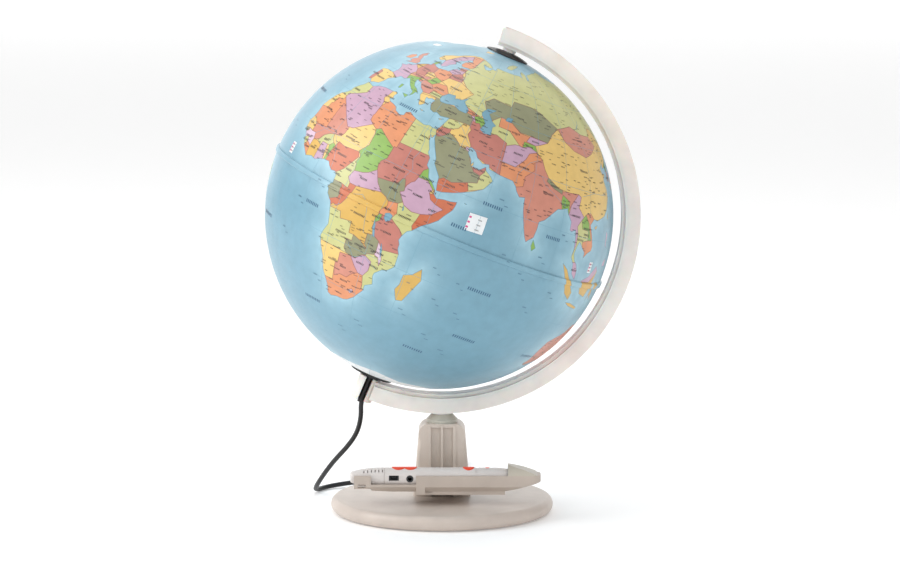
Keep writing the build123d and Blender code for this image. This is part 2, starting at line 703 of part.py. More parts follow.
def switch_rocker():
    """The rocker, dished between its two ends, tipped towards off."""
    height = SWITCH_SIZE[2]
    low, high, middle = height - 3.5, height + 1.2, height - 0.3
    outline = [(-8.8, low), (-8.8, high), (0.0, middle), (8.8, high), (8.8, low)]
    rocker = side_shape(outline, (-5.0, 5.0)) + block((-2.0, 2.0), (-3.0, 3.0), (height - 7.0, low + 0.5))
    rocker = Pos(0, 0, height - 2.0) * Rot(0, 7, 0) * Pos(0, 0, 2.0 - height) * rocker
    return switch_place() * rocker - switch_axle(SWITCH_PIN_RADIUS + RUNNING_GAP)


def switch_axle(radius):
    """A bar along the rocker's pivot line, across the switch."""
    return switch_place() * Pos(0, -6.8, SWITCH_SIZE[2] - 2.0) * Rot(-90, 0, 0) * rod(radius, 0, 13.6)


def switch_pivot():
    """The steel pin that the rocker tips on."""
    return switch_axle(SWITCH_PIN_RADIUS)


def plug_body():
    """The flat two-pin plug, narrow at the lead's end."""
    wide, long, high = PLUG_SIZE
    back_x, back_y = PLUG_BACK
    plan = Polyline((-5.0, 0), (5.0, 0), (9.0, 12.0), (wide / 2, 20.0), (wide / 2, long), (-wide / 2, long),
                    (-wide / 2, 20.0), (-9.0, 12.0), close=True)
    body = extrude(make_face(plan), amount=high)
    body = fillet(body.edges().filter_by(Axis.Z), 2.5)
    body = fillet(body.edges().group_by(Axis.Z)[-1] + body.edges().group_by(Axis.Z)[0], 2.0)
    return Pos(back_x, back_y, 0) * body


def plug_relief():
    """The ribbed bend protector behind the plug."""
    outline = [(2.15, -12.0), (2.7, -12.0)]
    for n in range(3):
        radius = 2.9 + n * 0.35
        outline += [(radius, -11.4 + n * 3.6), (radius + 0.3, -9.6 + n * 3.6), (radius - 0.3, -9.0 + n * 3.6)]
    outline += [(4.2, 0.0), (2.15, 0.0)]
    return Pos(*PLUG_BACK, PLUG_SIZE[2] / 2) * Rot(-90, 0, 0) * turned(*outline)


def plug_pins():
    """The two round pins, each with its tip rounded."""
    pins = []
    for x in (-PLUG_PIN_PITCH / 2, PLUG_PIN_PITCH / 2):
        pin = rod(PLUG_PIN_RADIUS, 0, PLUG_PIN_LENGTH)
        pin = fillet(pin.edges().group_by(Axis.Z)[-1], 1.2)
        at = Pos(PLUG_BACK[0] + x, PLUG_BACK[1] + PLUG_SIZE[1], PLUG_SIZE[2] / 2)
        pins.append(at * Rot(-90, 0, 0) * pin)
    return Part() + pins


NODES = {
    "north_hemisphere": NORTH * hemisphere(NORTH_HOLE),
    "south_hemisphere": SOUTH * hemisphere(SOUTH_HOLE),
    "equator_ring": NORTH * equator_ring(),
    "north_cap": NORTH * north_cap(),
    "north_bush": NORTH * pipe(3.6, PIN_RADIUS + RUNNING_GAP, 139, 152.2),
    "south_cap": SOUTH * south_cap(),
    "south_bush": SOUTH * pipe(7.1, STEM_RADIUS + RUNNING_GAP, 143, 151.9),
    "north_pivot_pin": NORTH * (rod(PIN_RADIUS, 141, 159.9) + rod(4.0, 157.95, 159.9)),
    "meridian_arm": meridian_arm(),
    "arm_front_wall": arm_cheek(-ARM_HALF_WIDTH, ARM_WALL - ARM_HALF_WIDTH),
    "arm_back_wall": arm_cheek(ARM_HALF_WIDTH - ARM_WALL, ARM_HALF_WIDTH),
    "lamp_stem": SOUTH * lamp_stem(),
    "cord_strain_relief": SOUTH * strain_relief(),
    "lamp_leads": lamp_leads(),
    "lamp_holder": SOUTH * lamp_holder(),
    "lamp_contact": SOUTH * lamp_contact(),
    "bulb_cap": SOUTH * bulb_cap(),
    "bulb_glass": SOUTH * bulb_glass(),
    "bulb_filaments": bulb_filaments(),
    "column_shell": column_shell(),
    "column_collar": column_collar(),
    "arm_insert": pipe(4.5, 3.0, SPIGOT_FOOT + 0.1, SPIGOT_FOOT + 15.9),
    "tie_bolt": tie_bolt(),
    "tie_washer": pipe(9.0, 3.1, 11.75, FOOT_CEILING - 0.02),
    "foot_shell": foot_shell(),
    "foot_ballast": pipe(60.0, 14.0, 3.05, 7.0),
    "foot_plate": foot_plate(),
    "foot_screws": foot_screws(),
    "foot_pad": rod(PAD_RADIUS, 0, PAD_HEIGHT),
    "pen_tray": pen_tray(),
    "tray_hood": tray_hood(),
    "tray_screws": tray_screws(),
    "pen_casing": pen_casing(),
    "pen_battery_door": pen_battery_door(),
    "pen_tail_cap": pen_tail_cap(),
    "pen_nose": pen_nose(),
    "pen_trim": pen_trim(),
    "pen_tip": pen_tip(),
    "pen_camera": pen_camera(),
    "pen_speaker": PEN * rod(5.6, -62.0, -58.0),
    "pen_board": pen_board(),
    "pen_battery": block((-16, 12), (PEN_Y - 4, PEN_Y + 4), (PEN_Z - 5.6, PEN_Z - 1.0)),
    "pen_jack": pen_jack(),
    "pen_usb_socket": pen_usb_socket(),
    "pen_light": pen_light(),
    "volume_rocker": volume_rocker(),
    "power_button": power_button(),
    "mains_cord": cord_tube("mains_cord", LEAD_ROUTE),
    "cord_link": cord_tube("cord_link", LINK_ROUTE) - cord_coil(),
    "cord_tail": cord_tail(),
    "cord_coil": cord_coil(),
    "coil_ties": coil_ties(),
    "switch_lower": switch_lower(),
    "switch_upper": switch_upper(),
    "switch_rocker": switch_rocker(),
    "switch_pivot": switch_pivot(),
    "plug_body": plug_body(),
    "plug_relief": plug_relief(),
    "plug_pins": plug_pins(),
}

os.makedirs("parts", exist_ok=True)
for node, shape in NODES.items():
    export_step(shape, f"parts/{node}.step")
print(len(NODES), "nodes written")
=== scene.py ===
# %% [markdown]
# A desktop globe lit from inside, with a talking pen, rebuilt for looks.
# The frame holds every rigid part at its real size. These cells print the map on the ball, lay the lead,
# and give each surface the finish that its maker would.

# %% load the frame
import bpy
import bmesh
import math
import random
import numpy as np
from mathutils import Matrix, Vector
from mathutils.geometry import delaunay_2d_cdt


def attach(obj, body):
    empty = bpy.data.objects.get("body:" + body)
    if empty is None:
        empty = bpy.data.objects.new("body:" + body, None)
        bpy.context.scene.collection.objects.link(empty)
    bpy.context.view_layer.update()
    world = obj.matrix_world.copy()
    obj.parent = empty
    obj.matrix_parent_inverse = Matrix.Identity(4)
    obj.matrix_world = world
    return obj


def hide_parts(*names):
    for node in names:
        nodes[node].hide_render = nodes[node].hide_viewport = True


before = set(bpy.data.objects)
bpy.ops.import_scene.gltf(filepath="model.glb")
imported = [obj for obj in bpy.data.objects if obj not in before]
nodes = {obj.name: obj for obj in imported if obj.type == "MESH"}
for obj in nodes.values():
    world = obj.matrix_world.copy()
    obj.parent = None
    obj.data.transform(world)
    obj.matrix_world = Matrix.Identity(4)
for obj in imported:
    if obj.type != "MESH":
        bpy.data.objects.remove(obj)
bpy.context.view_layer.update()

scene = bpy.context.scene
print(len(nodes), "parts in the frame")

# %% [markdown]
# The camera stands three metres back with a long lens, so the ball looks nearly flat-on, as in a catalogue.
# The floor runs back to a wall far behind, and both are white, so only the soft shadow shows where the globe
# stands.

# %% camera, floor and light
MM = 0.001
GLOBE_RADIUS = 150.0
GLOBE_CENTRE = Vector((-2.3, 0, 259.4))
TILT = math.radians(23.0)
REST_MERIDIAN = 139.9

camera_data = bpy.data.cameras.new("camera")
camera_data.lens = 140.13
camera_data.sensor_width = 36.0
camera = bpy.data.objects.new("camera", camera_data)
camera.location = (0.007, -3.0, 0.6032)
camera.rotation_euler = (math.radians(90 - 7.65), 0, 0)
scene.collection.objects.link(camera)
scene.camera = camera
scene.view_settings.view_transform = "Standard"


def area_light(name, place, aim, size, power):
    """A square soft box that faces a point."""
    data = bpy.data.lights.new(name, "AREA")
    data.size = size
    data.energy = power
    light = bpy.data.objects.new(name, data)
    light.location = place
    light.rotation_euler = (Vector(aim) - Vector(place)).to_track_quat("-Z", "Y").to_euler()
    scene.collection.objects.link(light)


FLOOR_SIZE = 14
area_light("key", (-2.2, -0.6, 1.6), (0, 0, 0.25), 1.8, 44)
area_light("front", (0.9, -2.6, 1.6), (0, 0, 0.2), 2.2, 18)
area_light("top", (0.0, 0.6, 2.4), (0, 0, 0.0), 1.8, 15)
world = bpy.data.worlds.new("studio")
world.use_nodes = True
world.node_tree.nodes["Background"].inputs["Color"].default_value = (1, 1, 1, 1)
world.node_tree.nodes["Background"].inputs["Strength"].default_value = 0.58
scene.world = world

bpy.ops.mesh.primitive_plane_add(size=FLOOR_SIZE, location=(0, 3.0, 0))
floor = bpy.context.object
floor.name = "floor"
bpy.ops.mesh.primitive_plane_add(size=FLOOR_SIZE, location=(0, 9.0, 5.0), rotation=(math.radians(90), 0, 0))
wall = bpy.context.object
wall.name = "wall"

# %% [markdown]
# The lead is a round two-core cord. It leaves the south pole and drops behind the foot to its switch, and
# what is left is wound into a neat coil with two straps, as it comes in the box. The coil's turns spiral in
# on the table, climb one diameter, and spiral out again on top. The whole lead is one smooth spline through
# points in millimetres, with a round section. It is then turned into a mesh tube, because a spline's box in
# Blender takes in the radius of its control points and would be metres too large.

# %% the mains lead
CORD_RADIUS = 2.1
LEAD_ROUTE = [
    (-66.0, 0.0, 109.4), (-70.5, 0.2, 97.6), (-70.2, 3.5, 82.0), (-74.2, 10.5, 66.5), (-83.2, 21.0, 52.5),
    (-94.6, 34.0, 38.5), (-104.5, 48.0, 23.5), (-112.0, 64.0, 9.5), (-113.5, 82.5, 2.3), (-103.5, 98.8, 2.3),
    (-88.0, 105.0, 3.9), (-73.2, 105.5, 5.6),
]
LINK_ROUTE = [(-30.8, 105.5, 5.6), (-21.0, 104.6, 4.5), (-10.8, 101.8, 3.2), (-0.5, 100.9, 2.8)]
TAIL_ROUTE = [
    (30.6, 131.5, 7.0), (30.0, 144.5, 5.6), (23.5, 156.0, 3.2), (12.0, 164.5, 2.7), (3.6, 174.5, 4.4),
    (0.8, 184.5, 6.2), (0.5, 193.0, 6.5),
]
COIL_CENTRE = (-1.0, 132.5)
COIL_RADII = (31.6, 18.4)
COIL_HEIGHTS = (2.8, 7.0)
COIL_START = math.radians(270)
TURN_POINTS = 16
SPIRAL_TURNS = 3
TURNS_IN_ALL = 7.25
WELD_GAP = 1e-6


def coil_points():
    """Three turns inwards, one that climbs, and three and a quarter outwards on top."""
    outer, inner = COIL_RADII
    pitch = (outer - inner) / SPIRAL_TURNS
    low, high = COIL_HEIGHTS
    points = []
    for step in range(1, int(TURN_POINTS * TURNS_IN_ALL)):
        turn = step / TURN_POINTS
        climb = min(max(turn - SPIRAL_TURNS, 0), 1)
        radius = max(outer - pitch * turn, inner)
        if turn > SPIRAL_TURNS + 1:
            radius = min(inner + pitch * (turn - SPIRAL_TURNS - 1), outer)
        angle = COIL_START + math.tau * turn
        x = COIL_CENTRE[0] + radius * math.cos(angle)
        y = COIL_CENTRE[1] + radius * math.sin(angle)
        points.append((x, y, low + (high - low) * climb))
    return points


def smooth_line(name, points, thickness):
    """One smooth spline through millimetre points, with a round section of the given radius."""
    curve = bpy.data.curves.new(name, "CURVE")
    curve.dimensions = "3D"
    curve.bevel_depth = thickness * MM
    curve.bevel_resolution = 6
    curve.resolution_u = 6
    curve.use_fill_caps = True
    spline = curve.splines.new("NURBS")
    spline.points.add(len(points) - 1)
    for point, place in zip(spline.points, points):
        point.co = (*[value * MM for value in place], 1)
    spline.order_u = 3
    spline.use_endpoint_u = True
    return bpy.data.objects.new(name, curve)


def as_mesh(line):
    """The mesh of a spline, with the spline itself taken away."""
    data = bpy.data.meshes.new_from_object(line)
    bpy.data.curves.remove(line.data)
    return data


def add_piece(name, data):
    """A new object for a mesh, put in the scene."""
    piece = bpy.data.objects.new(name, data)
    scene.collection.objects.link(piece)
    return piece


route = LEAD_ROUTE + LINK_ROUTE + coil_points() + TAIL_ROUTE
bare = as_mesh(smooth_line("bare", route, 0))
bpy.data.meshes.remove(bare)
tube = as_mesh(smooth_line("tube", route, CORD_RADIUS))
welded = bmesh.new()
welded.from_mesh(tube)
bmesh.ops.remove_doubles(welded, verts=welded.verts, dist=WELD_GAP)
bmesh.ops.recalc_face_normals(welded, faces=welded.faces)
welded.to_mesh(tube)
welded.free()
lead = add_piece("lead", tube)
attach(lead, "stand")
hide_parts("mains_cord", "cord_link", "cord_tail", "cord_coil")

# %% [markdown]
# Injection-moulded plastic is never quite even: the colour drifts a little, and the mould's fine spark
# texture breaks up the gloss. One function makes all of these, from a colour, a gloss and a grain size.

# %% materials
DRIFT_MM = 22.0
GLOSS_SPREAD = (0.88, 1.12)
BUMP_STRENGTH = 0.35


def linear(code):
    """A hex colour as Blender's linear red, green, blue and alpha."""
    parts = [int(code[i:i + 2], 16) / 255 for i in (1, 3, 5)]
    return tuple([c / 12.92 if c <= 0.04045 else ((c + 0.055) / 1.055) ** 2.4 for c in parts] + [1.0])


def add_node(tree, kind, **inputs):
    """Adds a shader node; a socket given as a value is linked, and anything else is the socket's value."""
    node = tree.nodes.new(kind)
    for name, value in inputs.items():
        socket = node.inputs[name.replace("_", " ")]
        if isinstance(value, bpy.types.NodeSocket):
            tree.links.new(value, socket)
        else:
            socket.default_value = value
    return node


def grain(tree, size_mm, detail=3.0):
    """Cloudy noise whose patches are about the given size, fixed to the object."""
    place = tree.nodes.new("ShaderNodeTexCoord")
    return add_node(tree, "ShaderNodeTexNoise", Vector=place.outputs["Object"], Scale=1 / (size_mm * MM),
                    Detail=detail)


def ramp(tree, factor, low, high, start=0.35, end=0.65):
    """A two-colour ramp between two places."""
    node = add_node(tree, "ShaderNodeValToRGB", Fac=factor)
    node.color_ramp.elements[0].position = start
    node.color_ramp.elements[1].position = end
    node.color_ramp.elements[0].color = low
    node.color_ramp.elements[1].color = high
    return node


def grey(level):
    """A neutral colour, for what a ramp passes on as a plain number."""
    return (level, level, level, 1.0)


def shade(colour, amount):
    """The colour made darker, or lighter with an amount over one."""
    return tuple([min(c * amount, 1.0) for c in colour[:3]] + [1.0])


def moulded(name, code, roughness, grain_mm=0.6, bump_mm=0.02, metallic=0.0, drift=0.05, **extra):
    """Moulded plastic, rubber or metal: a little colour drift, uneven gloss and a fine surface texture."""
    material = bpy.data.materials.new(name)
    material.use_nodes = True
    tree = material.node_tree
    shader = tree.nodes["Principled BSDF"]
    colour = linear(code)
    broad = ramp(tree, grain(tree, DRIFT_MM).outputs["Fac"], shade(colour, 1 - drift),
                 shade(colour, 1 + drift))
    tree.links.new(broad.outputs["Color"], shader.inputs["Base Color"])
    fine = grain(tree, grain_mm, 2.0)
    level = [grey(roughness * k) for k in GLOSS_SPREAD]
    gloss = ramp(tree, fine.outputs["Fac"], *level)
    tree.links.new(gloss.outputs["Color"], shader.inputs["Roughness"])
    bump = add_node(tree, "ShaderNodeBump", Strength=BUMP_STRENGTH, Distance=bump_mm * MM,
                    Height=fine.outputs["Fac"])
    tree.links.new(bump.outputs["Normal"], shader.inputs["Normal"])
    shader.inputs["Metallic"].default_value = metallic
    for socket, value in extra.items():
        shader.inputs[socket.replace("_", " ")].default_value = value
    return material


# Frosted polystyrene lets a little light in, so its edges look soft; ABS is opaque with a low satin gloss;
# silicone and PVC are duller; hook-and-loop and foam have no gloss at all; plated metal mirrors the room.
FINISHES = {
    "frosted": moulded("frosted_polystyrene", "#EAE5DF", 0.34, 0.5, 0.01, Subsurface_Weight=0.25,
                       Subsurface_Scale=0.006),
    "beige": moulded("beige_abs", "#C7BAB0", 0.42, 0.7),
    "column": moulded("light_beige_abs", "#CEC2B7", 0.42, 0.7),
    "tray": moulded("greige_abs", "#B8ABA0", 0.46, 0.7),
    "grey": moulded("warm_grey_abs", "#BDBAAE", 0.42, 0.7),
    "hood": moulded("clay_grey_abs", "#B7AFA1", 0.42, 0.7),
    "black": moulded("black_abs", "#1C1C1E", 0.38, 0.5),
    "white": moulded("white_abs", "#D3CCC8", 0.28, 0.5, 0.008, drift=0.02),
    "orange": moulded("orange_silicone", "#E8421C", 0.4, 0.4, 0.01, drift=0.04),
    "nylon": moulded("natural_nylon", "#E2DFD8", 0.5, 0.8),
    "dark": moulded("dark_abs", "#2B2C2E", 0.45, 0.5),
    "rubber": moulded("black_pvc", "#161618", 0.42, 0.4, 0.015),
    "foam": moulded("foam_rubber", "#2A2A2B", 0.85, 0.9, 0.1, drift=0.15),
    "strap": moulded("hook_and_loop", "#232325", 0.9, 0.35, 0.12, drift=0.2),
    "steel": moulded("zinc_plated_steel", "#B4B6B8", 0.32, 0.3, 0.004, metallic=1.0),
    "nickel": moulded("nickel_plate", "#CFCDC8", 0.18, 0.3, 0.002, metallic=1.0),
    "brass": moulded("turned_brass", "#B8974C", 0.3, 0.3, 0.003, metallic=1.0),
    "lamp": moulded("phosphor", "#F2D46A", 0.5, 0.4),
    "glass": moulded("clear_glass", "#FFFFFF", 0.05, 2.0, 0.0005, drift=0.01, Transmission_Weight=1.0,
                     IOR=1.46),
}
USES = {
    "frosted": ["meridian_arm", "arm_front_wall", "arm_back_wall"],
    "beige": ["foot_shell", "foot_plate"],
    "column": ["column_shell"],
    "tray": ["pen_tray"],
    "grey": ["column_collar"],
    "hood": ["tray_hood"],
    "black": ["north_cap", "south_cap", "lamp_stem", "pen_tip", "switch_lower", "switch_upper",
              "switch_rocker", "plug_body"],
    "white": ["pen_casing", "pen_battery_door", "pen_tail_cap", "pen_nose", "pen_trim"],
    "orange": ["volume_rocker", "power_button", "pen_light"],
    "nylon": ["north_bush", "south_bush", "lamp_holder"],
    "dark": ["pen_jack", "pen_usb_socket", "pen_speaker", "pen_board"],
    "rubber": ["cord_strain_relief", "plug_relief", "lamp_leads"],
    "foam": ["foot_pad"],
    "strap": ["coil_ties"],
    "steel": ["north_pivot_pin", "tie_bolt", "tie_washer", "foot_screws", "tray_screws", "foot_ballast",
              "switch_pivot"],
    "nickel": ["plug_pins", "bulb_cap", "pen_battery"],
    "brass": ["arm_insert", "lamp_contact"],
    "lamp": ["bulb_filaments"],
    "glass": ["bulb_glass", "pen_camera"],
}


def dress(piece, material):
    """Puts one material in every slot of a part."""
    if not piece.material_slots:
        piece.data.materials.append(material)
    for place in piece.material_slots:
        place.material = material


for finish, names in USES.items():
    for name in names:
        dress(nodes[name], FINISHES[finish])
dress(lead, FINISHES["rubber"])


PAPER_WHITE = 0.9
PAPER_ROUGHNESS = 0.9


def paper(name, glow):
    """Matt white studio paper that gives off a little light of its own."""
    material = bpy.data.materials.new(name)
    material.use_nodes = True
    shader = material.node_tree.nodes["Principled BSDF"]
    shader.inputs["Base Color"].default_value = grey(PAPER_WHITE)
    shader.inputs["Roughness"].default_value = PAPER_ROUGHNESS
    shader.inputs["Emission Color"].default_value = grey(1.0)
    shader.inputs["Emission Strength"].default_value = glow
    return material


dress(floor, paper("floor_paper", 0.16))
dress(wall, paper("wall_paper", 0.8))
print(len(FINISHES), "finishes on", len(nodes), "parts")

# %% [markdown]
# The map is printed flat on plastic sheet, and the sheet is then pressed into two half balls. So the print
# is worked out here on a flat chart of longitude and latitude first, and bent on to the ball after.
# Each outline is a list of longitude,latitude corners. Countries reach out over the sea, and the coast cuts
# them.

# %% the outlines
def corners(text):
    """An outline's corners from its text."""
    return [tuple(float(value) for value in pair.split(",")) for pair in text.split()]


